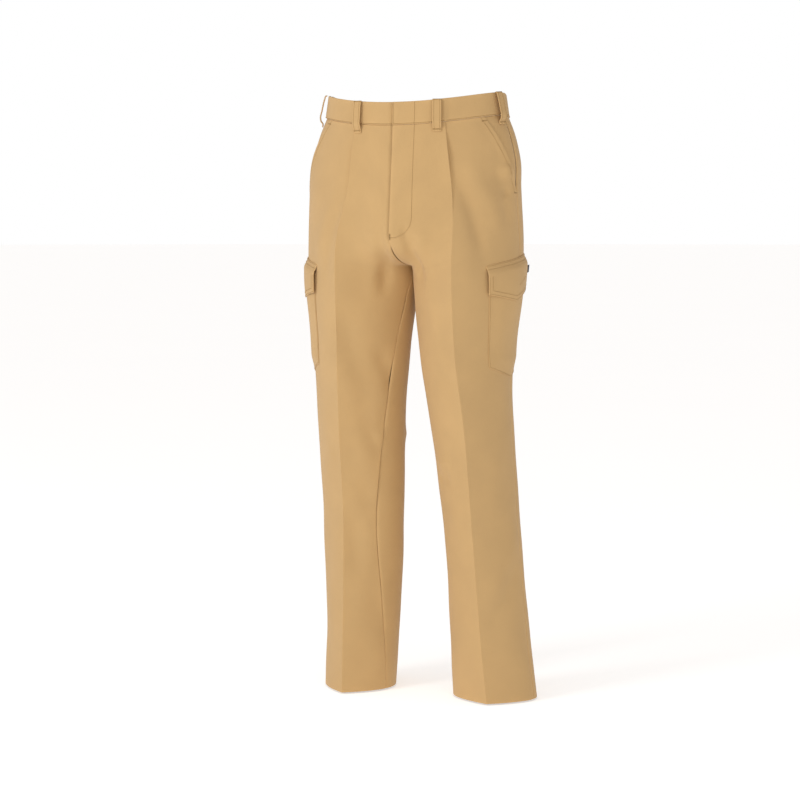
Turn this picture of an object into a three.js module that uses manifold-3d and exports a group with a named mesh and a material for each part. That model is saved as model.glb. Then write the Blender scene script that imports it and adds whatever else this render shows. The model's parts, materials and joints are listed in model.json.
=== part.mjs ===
// Cargo work trousers with one front pleat a side, a zip fly and a flapped cargo pocket on each thigh.
// Millimetres, +Z up, front towards -Y, the wearer's left towards +X. The pieces are drawn up from the hem;
// the group then puts the origin in the middle of the waist, level with the band's top at the centre front.
import * as THREE from 'three';
import { mergeVertices } from 'three/addons/utils/BufferGeometryUtils.js';
import Module from 'manifold-3d';

// ---- driving dimensions ---------------------------------------------------------------------------------
const INSEAM = 738;   // hem to crotch
const FRONT_RISE = 234;   // crotch to the waist seam at the centre front
const BAND_HEIGHT = 38;   // finished waistband
const SIDE_LIFT = 18;   // how much higher the waist seam lies at the side than at the front
const BACK_LIFT = 8;   // and at the centre back
const WAIST_HALF_WIDTH = 163;     // of the waist seam, side to side
const WAIST_HALF_DEPTH = 107;     // of the waist seam, front to back
const HIP_HALF_WIDTH = 191;
const HIP_HALF_DEPTH = 124;
const SEAT = 3;   // the seat is this much deeper than the front
const SEAT_CURVE = 1.3;   // how early the seat reaches its full depth
const BAND_TAPER = 6;   // the band's top edge lies this much inside the waist seam
const BAND_LEAN = 2;   // and this much at the front and back
const HEM_GIRTH = 440;
const KNEE_GIRTH = 462;
const THIGH_GIRTH = 650;
const FORK_FRONT = 52;   // height over which the front seam curves down into the crotch
const FORK_BACK = 100;   // and the back seam
const CROTCH_FORWARD = 20;        // the crotch point lies this far in front of the middle
const SEAM_GAP = 0.3;   // between pieces that are sewn edge to edge or lie on each other
const LIE_GAP = 0.8;   // between inner layers, whose facets don't match the panel's
const CLOTH = 1.6;   // shell panels, as plain slabs
const OUTSEAM_FORWARD = 12;       // the side seam lies this far in front of the widest point
const ROW_PITCH = 57;             // height of the panels' facets on the legs
const COLUMN_PITCH = 15;          // width of the facets of pockets and flaps

const BAND_CLOTH = 2.6;   // waistband: outer cloth and interlining
const BAND_PROUD = 1.0;   // how far the band stands out from the panels
const LINING = 1.8;

const LOOP_WIDTH = 15;   // belt loops
const LOOP_CLOTH = 1.4;
const LOOP_CLEAR = 8.5;   // room for a belt
const LOOP_BELOW_SEAM = 15;
const LOOP_END = 7;   // length of each sewn-down end

const CARGO_HALF_WIDTH = 55;      // cargo pockets
const CARGO_DEPTH = 185;   // from the mouth to the bottom point
const CARGO_MOUTH_BELOW_CROTCH = 4;
const CARGO_POINT = 19;   // how far the point hangs below the corners
const CARGO_HOLLOW = 5.7;
const CARGO_WALL = 1.2;
const CARGO_CENTRE_TOP = 24;      // in front of the side seam at the mouth
const CARGO_CENTRE_BOTTOM = 2;    // and at the bottom
const PAD_CLOTH = 0.5;   // hook and loop fastener
const PAD_HALF_WIDTH = 24;
const PAD_HEIGHT = 15;
const FLAP_HALF_WIDTH = 59;
const FLAP_CLOTH = 1.2;
const FLAP_DEPTH = 40;   // from the fold to the corners
const FLAP_POINT = 17;
const FLAP_SLOPE = 0.17;   // the flap rises towards the back
const FLAP_BAND = 12;   // sewn band above the fold

const ZIP_X = 12;   // the zip lies this far behind the fly's edge
const ZIP_LENGTH = 162;
const ZIP_DEPTH = 7.9;   // middle of the teeth behind the outer face
const TEETH_WIDTH = 2.4;
const TEETH_THICK = 2.2;
const TEETH_PITCH = 6;
const TEETH_GAP = 1.6;   // between the two rows, for the slider's post
const TAPE_WIDTH = 12;
const FLY_WIDTH = 37;   // fly edge to the curved stitching
const FLY_ROUND = 34;   // radius of the facing's rounded bottom
const FACING_SINGLE = 0.7;        // the facing, and where it is folded up to the tape
const FACING_FOLDED = 2.7;
const SHIELD_SEWN = -4.9;   // up to here the shield is sewn to the right front
const SHIELD_DEPTH = 11;   // of the shield behind the outer face
const SHIELD_WIDE = [-16, 30];    // its edges, from the fly's edge
const SHIELD_CLOTH = 1.2;
const ZIP_DOWN = 4;   // top of the tapes below the waist seam
const TAPE_THICK = 0.8;
const STOP_HALF = 3.2;   // bottom stop
const STOP_HEIGHT = 3.6;
const STOP_THICK = 2.6;
const SLIDER = [-11, -1];   // along the zip when it is closed
const SLIDER_HALF = 4.2;
const SLIDER_PLATE = 0.8;
const POST_HALF = 0.45;   // joins the slider's plates between the teeth
const CROWN = { half: 0.8, top: -3, bottom: -6 };   // carries the pull
const CROWN_CLEAR = 0.7;   // between the slider and the pull
const PULL_THICK = 1;
const PULL_HALF = 3.2;
const PULL_LENGTH = 26;
const EYE_CLEAR = 0.4;

const SLANT_TOP_S = 1.55;   // side pockets: where the slanting mouth meets the waist seam
const SLANT_DROP = 122;   // and how far down it meets the side seam
const FACING_S = 1.34;   // the facing's front edge
const FACING_CLOTH = 1.4;
const BELOW_MOUTH = 18;   // the facing reaches this far below the mouth's lower end
const BAG_S = [1.1, 1.94];        // the bag's edges
const BAG_CLOTH = 1.3;
const BAG_DEPTH = 214;
const WELT_HEIGHT = 12;   // back pockets
const WELT_CLOTH = 1.2;
const WELT_DROP = 78;   // below the waist seam
const BACK_BAG_DEPTH = 120;
const BACK_BAG_ABOVE = 40;        // the bag starts this much above the welt
const BUTTON_RADIUS = 7.5;
const BUTTON_THICK = 2.2;
const BUTTON_BELOW = 3;   // from the welt's lower edge
const BUTTON_S = 2.8;
const FRONT_LOOP_X = { left: 73, right: -66 };   // places of the belt loops
const SIDE_LOOP_S = 1.86;
const BACK_LOOP_X = 78;
const RIBBON_WIDTH = 13;   // ribbon tab at the flap's rear edge
const RIBBON_PROUD = 6;
const RIBBON_DROP = 22;   // below the fold
const PAD_DROP = 16;   // the fasteners' top edge below the flap's fold

const UNDERLAP_CLOTH = 1.6;       // waist closure
const UNDERLAP_DEPTH = 8.2;
const UNDERLAP_WIDE = [-16, 38];
const HOOK_X = 16;   // the hook's bend
const HOOK_WIRE = 0.7;
const HOOK_PLATE = [-6, 10];      // the hook's plate along the band
const HOOK_HALF = 6;
const CLAW_LENGTH = 7;
const CLAW_HALF = 4;
const CLAW_CLEAR = 0.9;
const BAR_ALONG = [-3.6, -1.6];
const BAR_HALF = 8;

// Stations of the leg, hem to crotch: u is the share of the inseam, the rest in mm and degrees.
// centre and half are across the leg; turn is how far the leg is turned out; seam is how far the
// inseam lies in front of the leg's innermost point.
const LEG = {
  left: [
    { u: 0, centre: 145, half: 73, turn: 8, seam: 2 },
    { u: 0.14, centre: 136, half: 69, turn: 8, seam: 2 },
    { u: 0.4, centre: 120, half: 66, turn: 9, seam: 4 },
    { u: 0.62, centre: 103, half: 71, turn: 12, seam: 10 },
    { u: 0.8, centre: 91, half: 80, turn: 10, seam: 16 },
    { u: 1, centre: 94, half: 94, turn: 7, seam: CROTCH_FORWARD },
  ],
  right: [
    { u: 0, centre: 107, half: 63, turn: 0, seam: 22 },
    { u: 0.14, centre: 102, half: 65, turn: 2, seam: 32 },
    { u: 0.4, centre: 100, half: 74, turn: 4, seam: 46 },
    { u: 0.62, centre: 104, half: 79, turn: 3, seam: 40 },
    { u: 0.8, centre: 103, half: 86, turn: 2, seam: 32 },
    { u: 1, centre: 99, half: 99, turn: 2, seam: CROTCH_FORWARD },
  ],
};
const GIRTH = [[0, HEM_GIRTH], [0.14, HEM_GIRTH + 6], [0.4, KNEE_GIRTH], [0.62, KNEE_GIRTH + 44],
  [0.8, (KNEE_GIRTH + THIGH_GIRTH) / 2 + 10], [1, THIGH_GIRTH]];
// Torso, crotch to waist seam: share of the rise, share of the way from waist to hip.
const FLARE = [[0, 1.0], [0.35, 1.0], [0.52, 0.97], [0.69, 0.86], [0.86, 0.5], [1, 0]];
const SWAY = [[0, 5], [0.52, 5], [0.69, 2], [1, 0]];   // hips pushed towards the right
const CREASE = { left: [[0, 113], [0.5, 103], [1, 87]], right: [[0, 101], [0.5, 83], [1, 73]] };
const CREASE_RIDGE = 0.14;        // how sharp the pressed crease stays over the hip
const BACK_CREASE = 0.5;   // share of the half width at which the back crease lies on the torso
const TORSO_BLEND = 0.62;   // share of the rise over which the legs become the torso

// ---- curves ---------------------------------------------------------------------------------------------
const SIGN = { left: 1, right: -1 };
const SEAM_H = INSEAM + FRONT_RISE;
const TOP_H = SEAM_H + BAND_HEIGHT;

/** Smooth curve through [t, value] pairs, constant beyond its ends; flatEnd makes it arrive level. */
function through(pairs, t, flatEnd = false) {
  const last = pairs.length - 1;
  if (t <= pairs[0][0]) return pairs[0][1];
  if (t >= pairs[last][0]) return pairs[last][1];
  let i = 0;
  while (t > pairs[i + 1][0]) i += 1;
  const slope = (k) => {
    if (flatEnd && k === last) return 0;
    const a = pairs[Math.max(k - 1, 0)];
    const b = pairs[Math.min(k + 1, last)];
    return (b[1] - a[1]) / (b[0] - a[0]);
  };
  const [t0, v0] = pairs[i];
  const [t1, v1] = pairs[i + 1];
  return hermite(v0, v1, slope(i) * (t1 - t0), slope(i + 1) * (t1 - t0), (t - t0) / (t1 - t0));
}

function hermite(p0, p1, m0, m1, t) {
  const t2 = t * t;
  const t3 = t2 * t;
  return (2 * t3 - 3 * t2 + 1) * p0 + (t3 - 2 * t2 + t) * m0 + (3 * t2 - 2 * t3) * p1 + (t3 - t2) * m1;
}

function smooth(t) {
  const c = Math.min(Math.max(t, 0), 1);
  return c * c * (3 - 2 * c);
}

const mix = (a, b, t) => a + (b - a) * t;
const quarter = (t) => Math.sqrt(Math.max(0, 1 - (1 - Math.min(t, 1)) ** 2));

// ---- the garment's surface ------------------------------------------------------------------------------
// A point of one side is found by (s, h). h is the height along the centre front. s runs round the side:
// 0 centre front or inseam, 1 front crease, 2 side seam, 3 back crease, 4 centre back or inseam.

/** Knots and tangents of a leg: two parabolas that meet in the pressed creases. */
function legSection(side, h) {
  const sign = SIGN[side];
  const u = Math.min(h / INSEAM, 1);
  const at = (key) => through(LEG[side].map((row) => [row.u, row[key]]), u, true);
  const half = at('half');
  // A parabola of half width a and depth d measures about sqrt(16/3 a^2 + 4 d^2) from crease to crease.
  const depth = Math.sqrt((through(GIRTH, u, true) / 2) ** 2 - (16 / 3) * half * half) / 2;
  const turn = THREE.MathUtils.degToRad(at('turn'));
  const place = (out, forward) => [
    sign * (at('centre') + out * Math.cos(turn) + forward * Math.sin(turn)),
    out * Math.sin(turn) - forward * Math.cos(turn)];
  const way = (out, forward) => [
    sign * (out * Math.cos(turn) + forward * Math.sin(turn)),
    out * Math.sin(turn) - forward * Math.cos(turn)];
  const inner = at('seam') / depth;
  const outer = OUTSEAM_FORWARD / depth;
  const arc = (face, from, to) => {
    const span = to - from;
    return {
      p0: place(face * half * (1 - from * from), depth * from),
      p1: place(face * half * (1 - to * to), depth * to),
      m0: way(-2 * face * half * from * span, depth * span),
      m1: way(-2 * face * half * to * span, depth * span),
    };
  };
  return [arc(-1, inner, 1), arc(1, 1, outer), arc(1, outer, -1), arc(-1, -1, inner)];
}

/** Half width, front and back half depth of the torso at a height. */
function torsoSize(side, h) {
  const v = (h - INSEAM) / FRONT_RISE;
  const flare = through(FLARE, v);
  const above = Math.max(h - SEAM_H, 0) / BAND_HEIGHT;
  const width = mix(WAIST_HALF_WIDTH, HIP_HALF_WIDTH, flare) - SIGN[side] * through(SWAY, v);
  const straight = 1 - FORK_FRONT / FRONT_RISE;    // the front slopes evenly as far as the fork, for the zip
  const down = Math.min(Math.max(1 - v, 0), straight) / straight;
  const front = mix(WAIST_HALF_DEPTH, HIP_HALF_DEPTH, down);
  const back = mix(WAIST_HALF_DEPTH, HIP_HALF_DEPTH + SEAT, smooth(down * SEAT_CURVE));
  const lean = BAND_LEAN * above;
  return { width: width - BAND_TAPER * above, front: front - lean, back: back - lean };
}

/** Knots and tangents of the torso: a half ellipse, front and back of their own depth. */
function torsoSection(side, h) {
  const sign = SIGN[side];
  const v = Math.min((h - INSEAM) / FRONT_RISE, 1);
  const { width, front, back } = torsoSize(side, h);
  const crease = through(CREASE[side], v);
  const angles = [0, Math.asin(crease / width), Math.PI / 2 - OUTSEAM_FORWARD / front,
    Math.PI - Math.asin(BACK_CREASE), Math.PI];
  const depth = (angle) => (angle > Math.PI / 2 ? back : front);
  const place = (angle) => [sign * width * Math.sin(angle), -depth(angle) * Math.cos(angle)];
  const ridge = [0, -1, 0, 1, 0];
  return [0, 1, 2, 3].map((k) => {
    const span = angles[k + 1] - angles[k];
    const way = (angle) => [sign * span * width * Math.cos(angle), span * depth(angle) * Math.sin(angle)];
    const m0 = way(angles[k]);
    const m1 = way(angles[k + 1]);
    m0[1] -= ridge[k] * CREASE_RIDGE * Math.hypot(...m0);
    m1[1] += ridge[k + 1] * CREASE_RIDGE * Math.hypot(...m1);
    return { p0: place(angles[k]), p1: place(angles[k + 1]), m0, m1 };
  });
}

/** The four arcs of one side at a height, leg and torso merged over the upper thigh. */
function section(side, h) {
  const leg = legSection(side, h);
  const near = smooth((h - INSEAM + FORK_FRONT) / FORK_FRONT);     // both inseams run into the crotch point
  const crotch = [0, -CROTCH_FORWARD];
  leg[0].p0 = leg[0].p0.map((value, c) => mix(value, crotch[c], near));
  leg[3].p1 = leg[0].p0;
  if (h <= INSEAM) return leg;
  const torso = torsoSection(side, h);
  const share = smooth((h - INSEAM) / (FRONT_RISE * TORSO_BLEND));
  const { front, back } = torsoSize(side, h);
  const frontSeam = [0, -mix(CROTCH_FORWARD, front, quarter((h - INSEAM) / FORK_FRONT))];
  const backSeam = [0, mix(-CROTCH_FORWARD, back, quarter((h - INSEAM) / FORK_BACK))];
  const sideways = [SIGN[side], 0];
  const knots = [0, 1, 2, 3].map((k) => [0, 1].map((c) => mix(leg[k].p0[c], torso[k].p0[c], share)));
  knots[0] = frontSeam;
  knots.push(backSeam);
  const length = (arc) => Math.hypot(arc.p1[0] - arc.p0[0], arc.p1[1] - arc.p0[1]);
  const arcs = [0, 1, 2, 3].map((k) => {
    const p0 = knots[k];
    const p1 = knots[k + 1];
    const chord = Math.hypot(p1[0] - p0[0], p1[1] - p0[1]);
    const merged = (key) => [0, 1].map(
      (c) => chord * mix(leg[k][key][c] / length(leg[k]), torso[k][key][c] / length(torso[k]), share));
    return { p0, p1, m0: merged('m0'), m1: merged('m1') };
  });
  turnTangent(arcs[0].m0, sideways, smooth((h - INSEAM) / FORK_FRONT));
  turnTangent(arcs[3].m1, [-sideways[0], 0], smooth((h - INSEAM) / FORK_BACK));
  return arcs;
}

/** Turns a tangent towards a direction and keeps its length. */
function turnTangent(tangent, direction, share) {
  const size = Math.hypot(...tangent);
  const x = mix(tangent[0] / size, direction[0], share);
  const y = mix(tangent[1] / size, direction[1], share);
  const scale = size / Math.hypot(x, y);
  tangent[0] = x * scale;
  tangent[1] = y * scale;
}

/** How far a point lies above its height along the centre front. */
function lift(side, s, x, h) {
  const reach = Math.min(Math.abs(x) / torsoSize(side, h).width, 1);
  const away = 1 - Math.sqrt(1 - reach * reach);
  const full = s <= 2 ? SIDE_LIFT * reach * reach : BACK_LIFT + (SIDE_LIFT - BACK_LIFT) * away * away;
  return full * smooth((h - INSEAM) / FRONT_RISE);
}

/** Point of the surface moved out by an offset, square to the section. */
function surface(side, s, h, offset = 0) {
  const arcs = section(side, h);
  const k = Math.min(Math.floor(s), 3);
  const point = (arc, t) => [0, 1].map((c) => hermite(arc.p0[c], arc.p1[c], arc.m0[c], arc.m1[c], t));
  const [x, y] = point(arcs[k], s - k);
  const step = 1e-3;
  const before = s - step < 0 ? [x, y] : point(arcs[Math.min(Math.floor(s - step), 3)],
    s - step - Math.min(Math.floor(s - step), 3));
  const after = s + step > 4 ? [x, y] : point(arcs[Math.min(Math.floor(s + step), 3)],
    s + step - Math.min(Math.floor(s + step), 3));
  const run = Math.hypot(after[0] - before[0], after[1] - before[1]);
  const nx = (SIGN[side] * (after[1] - before[1])) / run;
  const ny = (-SIGN[side] * (after[0] - before[0])) / run;
  return new THREE.Vector3(x + nx * offset, y + ny * offset, h + lift(side, s, x, h));
}

/** s at a distance forward of the side seam, measured round the section. */
function sAtArc(side, forward, h) {
  const steps = 60;
  const way = forward >= 0 ? -1 : 1;
  let s = 2;
  let gone = 0;
  let last = surface(side, s, h);
  for (let i = 1; i <= steps; i += 1) {
    const next = surface(side, 2 + way * (i / steps), h);
    const piece = Math.hypot(next.x - last.x, next.y - last.y);
    if (gone + piece >= Math.abs(forward)) return s + (way * (Math.abs(forward) - gone)) / piece / steps;
    gone += piece;
    s = 2 + (way * i) / steps;
    last = next;
  }
  return s;
}

/** s and side at a distance x from the centre front (or centre back), by bisection. */
function atX(x, h, back = false) {
  const side = x < 0 ? 'right' : 'left';
  let low = 0;
  let high = 1;
  for (let i = 0; i < 24; i += 1) {
    const middle = (low + high) / 2;
    const s = back ? 4 - middle : middle;
    if (Math.abs(surface(side, s, h).x) < Math.abs(x)) low = middle;
    else high = middle;
  }
  return { side, s: back ? 4 - low : low };
}

const surfaceAtX = (x, h, offset, back = false) => {
  const { side, s } = atX(x, h, back);
  return surface(side, s, h, offset);
};

// ---- solids ---------------------------------------------------------------------------------------------

/** Closed solid between an outer and an inner net of points, each net[row][column] a Vector3. */
function between(outer, inner) {
  const rows = outer.length;
  const columns = outer[0].length;
  const points = [...outer.flat(), ...inner.flat()];
  const faces = [];
  const id = (layer, r, c) => layer * rows * columns + r * columns + c;
  const quad = (a, b, c, d) => faces.push(a, b, c, a, c, d);
  for (let r = 0; r < rows - 1; r += 1) {
    for (let c = 0; c < columns - 1; c += 1) {
      quad(id(0, r, c), id(0, r, c + 1), id(0, r + 1, c + 1), id(0, r + 1, c));
      quad(id(1, r, c), id(1, r + 1, c), id(1, r + 1, c + 1), id(1, r, c + 1));
    }
  }
  for (let c = 0; c < columns - 1; c += 1) {
    quad(id(1, 0, c), id(1, 0, c + 1), id(0, 0, c + 1), id(0, 0, c));
    quad(id(0, rows - 1, c), id(0, rows - 1, c + 1), id(1, rows - 1, c + 1), id(1, rows - 1, c));
  }
  for (let r = 0; r < rows - 1; r += 1) {
    quad(id(0, r, 0), id(0, r + 1, 0), id(1, r + 1, 0), id(1, r, 0));
    quad(id(1, r, columns - 1), id(1, r + 1, columns - 1), id(0, r + 1, columns - 1), id(0, r, columns - 1));
  }
  const geometry = new THREE.BufferGeometry();
  const numbers = points.flatMap((p) => [p.x, p.y, p.z]);
  geometry.setAttribute('position', new THREE.Float32BufferAttribute(numbers, 3));
  geometry.setIndex(faces);
  return facingOut(geometry);
}

/** Turns every face round when the solid's volume comes out negative. */
function facingOut(geometry) {
  const at = geometry.getAttribute('position');
  const index = geometry.getIndex().array;
  const [a, b, c] = [new THREE.Vector3(), new THREE.Vector3(), new THREE.Vector3()];
  let volume = 0;
  for (let i = 0; i < index.length; i += 3) {
    a.fromBufferAttribute(at, index[i]);
    b.fromBufferAttribute(at, index[i + 1]);
    c.fromBufferAttribute(at, index[i + 2]);
    volume += a.dot(b.cross(c));
  }
  if (volume < 0) {
    for (let i = 0; i < index.length; i += 3) [index[i], index[i + 1]] = [index[i + 1], index[i]];
  }
  geometry.computeVertexNormals();
  return geometry;
}

/** A slab that follows the surface. place(column, row) gives {side, s, h}; the offsets may be functions. */
function slab(columns, rows, place, outside, inside) {
  const value = (offset, c, r) => (typeof offset === 'function' ? offset(c, r) : offset);
  const net = (offset) => rows.map((r) => columns.map((c) => {
    const { side, s, h } = place(c, r);
    return surface(side, s, h, value(offset, c, r));
  }));
  return between(net(outside), net(inside));
}

const spread = (from, to, count) => Array.from({ length: count + 1 }, (_, i) => mix(from, to, i / count));

const COLOURS = {
  twill: { color: '#c9a876', roughness: 0.9, metalness: 0 },
  pocketing: { color: '#d8cfb8', roughness: 0.95, metalness: 0 },
  tape: { color: '#b89a68', roughness: 0.9, metalness: 0 },
  hookAndLoop: { color: '#b4935f', roughness: 1, metalness: 0 },
  ribbon: { color: '#20283f', roughness: 0.8, metalness: 0 },
  brass: { color: '#b59a58', roughness: 0.35, metalness: 1 },
  steel: { color: '#b9bbbd', roughness: 0.35, metalness: 1 },
  button: { color: '#a98a5c', roughness: 0.4, metalness: 0 },
};
const trousers = new THREE.Group();
const wasm = await Module();
wasm.setup();

/** Joins closed geometries into one solid. */
function joined(...geometries) {
  const solids = geometries.map((geometry) => {
    const bare = new THREE.BufferGeometry();
    bare.setAttribute('position', geometry.getAttribute('position'));
    if (geometry.getIndex()) bare.setIndex(geometry.getIndex());
    const merged = mergeVertices(bare, 1e-4);
    return new wasm.Manifold(new wasm.Mesh({ numProp: 3,
      vertProperties: new Float32Array(merged.getAttribute('position').array),
      triVerts: new Uint32Array(merged.getIndex().array) }));
  });
  const mesh = solids.reduce((whole, next) => whole.add(next)).getMesh();
  const geometry = new THREE.BufferGeometry();
  geometry.setAttribute('position', new THREE.Float32BufferAttribute(mesh.vertProperties, 3));
  geometry.setIndex(Array.from(mesh.triVerts));
  geometry.computeVertexNormals();
  return geometry;
}

function add(name, geometry, colour, place) {
  const mesh = new THREE.Mesh(geometry, new THREE.MeshStandardMaterial(COLOURS[colour]));
  mesh.name = name;
  if (place) mesh.applyMatrix4(place);
  trousers.add(mesh);
}

// ---- the four shell panels ------------------------------------------------------------------------------
const SEAM_S = SEAM_GAP / 2 / 115; // half the seam gap as a share of a quarter of the section
const BACK_COLUMNS = spread(2, 4, 12);
const LEG_ROWS = spread(0, INSEAM, Math.ceil(INSEAM / ROW_PITCH));
const forkRows = (height) => spread(0, Math.PI / 2, 5).slice(1)
  .map((a) => INSEAM + height * (1 - Math.cos(a)));
const topRows = (height) => spread(INSEAM + height, SEAM_H - SEAM_GAP, 8).slice(1);

/** Moves a slab's points off the middle plane, so that the two sides keep their gap and their thickness. */
function offMiddle(geometry, sign) {
  const at = geometry.getAttribute('position');
  const layer = at.count / 2;                     // the outer net comes first, the inner net after it
  const short = (i) => Math.max(0, SEAM_GAP / 2 - sign * at.getX(i));
  for (let i = 0; i < layer; i += 1) {
    const outer = short(i);
    at.setX(i, at.getX(i) + sign * outer);
    at.setX(i + layer, at.getX(i + layer) + sign * outer);
    at.setX(i + layer, at.getX(i + layer) + sign * short(i + layer));
  }
  return geometry;
}

/** Where the front panel ends at a height: the side seam, or the slanting pocket mouth above it. */
function frontEdge(h) {
  const up = Math.max(0, h - (SEAM_H - SLANT_DROP)) / SLANT_DROP;
  return mix(2 - SEAM_S, SLANT_TOP_S, up);
}

for (const side of ['left', 'right']) {
  const frontColumns = spread(0, 2, 14);
  const frontPlace = (c, h) => ({
    side, h, s: c <= 1 ? Math.max(c, SEAM_S) : 1 + (c - 1) * (frontEdge(h) - 1) });
  const front = slab(frontColumns, [...LEG_ROWS, ...forkRows(FORK_FRONT), ...topRows(FORK_FRONT)],
    frontPlace, 0, -CLOTH);
  add(`${side}_front_panel`, offMiddle(front, SIGN[side]), 'twill');
  const backPlace = (c, h) => ({ side, h, s: Math.min(Math.max(c, 2 + SEAM_S), 4 - SEAM_S) });
  const back = slab(BACK_COLUMNS, [...LEG_ROWS, ...forkRows(FORK_BACK), ...topRows(FORK_BACK)],
    backPlace, 0, -CLOTH);
  add(`${side}_back_panel`, offMiddle(back, SIGN[side]), 'twill');
}

// ---- waistband, lining and belt loops -------------------------------------------------------------------
const BAND_INSIDE = BAND_PROUD - BAND_CLOTH;
const LINING_OUTSIDE = BAND_INSIDE - SEAM_GAP;
const LINING_INSIDE = LINING_OUTSIDE - LINING;

for (const side of ['left', 'right']) {
  const place = (s, h) => ({ side, s, h });
  const columns = spread(0, 4, 24);
  const rows = [SEAM_H, TOP_H];
  const band = slab(columns, rows, place, BAND_PROUD, BAND_INSIDE);
  add(`${side}_waistband`, offMiddle(band, SIGN[side]), 'twill');
  const lining = slab(columns, [SEAM_H + 1, TOP_H - 2], place, LINING_OUTSIDE, LINING_INSIDE);
  add(`${side}_waistband_lining`, offMiddle(lining, SIGN[side]), 'pocketing');
}

/** A belt loop across the band: both ends sewn down, the middle standing off for the belt. */
function beltLoop(name, side, s) {
  const low = surface(side, s, SEAM_H - LOOP_BELOW_SEAM);
  const high = surface(side, s, TOP_H);
  const next = surface(side, Math.min(s + 0.02, 4), SEAM_H);
  const previous = surface(side, Math.max(s - 0.02, 0), SEAM_H);
  const up = high.clone().sub(low).normalize();
  let across = next.sub(previous).multiplyScalar(SIGN[side]);
  if (s === 4) across = new THREE.Vector3(-1, 0, 0);
  across.addScaledVector(up, -across.dot(up)).normalize();
  const out = across.clone().cross(up).normalize();
  const outwards = new THREE.Vector3(low.x, low.y, 0);
  if (out.dot(outwards) < 0) out.negate();
  const height = high.distanceTo(low);
  const foot = SEAM_GAP + 0.3;
  const head = foot + BAND_PROUD + 0.1;
  const stand = LOOP_CLEAR + BAND_PROUD;
  const profile = new THREE.Shape();
  profile.moveTo(0, foot);
  profile.lineTo(LOOP_END, foot);
  profile.lineTo(LOOP_END + 3, stand);
  profile.lineTo(height - LOOP_END - 2, stand);
  profile.lineTo(height - LOOP_END + 1, head);
  profile.lineTo(height, head);
  profile.lineTo(height, head + LOOP_CLOTH);
  profile.lineTo(height - LOOP_END + 2, head + LOOP_CLOTH);
  profile.lineTo(height - LOOP_END - 1.2, stand + LOOP_CLOTH);
  profile.lineTo(LOOP_END + 2.2, stand + LOOP_CLOTH);
  profile.lineTo(LOOP_END - 0.8, foot + LOOP_CLOTH);
  profile.lineTo(0, foot + LOOP_CLOTH);
  profile.closePath();
  const geometry = new THREE.ExtrudeGeometry(profile, { depth: LOOP_WIDTH, bevelEnabled: false });
  geometry.translate(0, 0, -LOOP_WIDTH / 2);
  const third = up.clone().cross(out);
  add(name, geometry, 'twill', new THREE.Matrix4().makeBasis(up, out, third).setPosition(low));
}

for (const side of ['left', 'right']) {
  beltLoop(`belt_loop_front_${side}`, side, atX(FRONT_LOOP_X[side], SEAM_H).s);
  beltLoop(`belt_loop_side_${side}`, side, SIDE_LOOP_S);
  beltLoop(`belt_loop_back_${side}`, side, atX(SIGN[side] * BACK_LOOP_X, SEAM_H, true).s);
}
beltLoop('belt_loop_back_centre', 'left', 4);

// ---- side pockets: the slanting mouth shows the facing, the bag hangs inside ----------------------------
for (const side of ['left', 'right']) {
  const place = (s, h) => ({ side, s, h });
  const facingOutside = -CLOTH - LIE_GAP;
  const facingInside = facingOutside - FACING_CLOTH;
  const facing = slab(spread(FACING_S, 2 - SEAM_S, 7),
    spread(SEAM_H - SLANT_DROP - BELOW_MOUTH, SEAM_H - SEAM_GAP, 6), place, facingOutside, facingInside);
  add(`${side}_side_pocket_facing`, facing, 'twill');
  const bagOutside = facingInside - LIE_GAP;
  const bag = slab(spread(BAG_S[0], BAG_S[1], 7), spread(SEAM_H - BAG_DEPTH, SEAM_H - SEAM_GAP, 7),
    place, bagOutside, bagOutside - BAG_CLOTH);
  add(`${side}_side_pocket_bag`, bag, 'pocketing');
}

// ---- back pockets: welt and button outside, bag inside --------------------------------------------------
for (const side of ['left', 'right']) {
  const place = (s, h) => ({ side, s, h });
  const middle = SEAM_H - WELT_DROP;
  const welt = slab(BACK_COLUMNS.slice(3, 8), [middle - WELT_HEIGHT / 2, middle + WELT_HEIGHT / 2],
    place, SEAM_GAP + WELT_CLOTH, SEAM_GAP);
  add(`${side}_back_pocket_welt`, welt, 'twill');
  const bagOutside = -CLOTH - LIE_GAP;
  const bag = slab(BACK_COLUMNS.slice(2, 8), spread(middle - BACK_BAG_DEPTH, middle + BACK_BAG_ABOVE, 6),
    place, bagOutside, bagOutside - BAG_CLOTH);
  add(`${side}_back_pocket_bag`, bag, 'pocketing');
  const buttonH = middle - WELT_HEIGHT / 2 - BUTTON_RADIUS - BUTTON_BELOW;
  const seat = surface(side, BUTTON_S, buttonH, SEAM_GAP + 0.4);
  const up = surface(side, BUTTON_S, buttonH + 10).sub(surface(side, BUTTON_S, buttonH - 10)).normalize();
  const out = surface(side, BUTTON_S, buttonH, 10).sub(seat).setZ(0);
  out.addScaledVector(up, -out.dot(up)).normalize();
  const disc = new THREE.CylinderGeometry(BUTTON_RADIUS, BUTTON_RADIUS, BUTTON_THICK, 20);
  disc.translate(0, BUTTON_THICK / 2, 0);
  const turn = new THREE.Quaternion().setFromUnitVectors(new THREE.Vector3(0, 1, 0), out);
  add(`${side}_back_pocket_button`, disc, 'button',
    new THREE.Matrix4().compose(seat, turn, new THREE.Vector3(1, 1, 1)));
}

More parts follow.
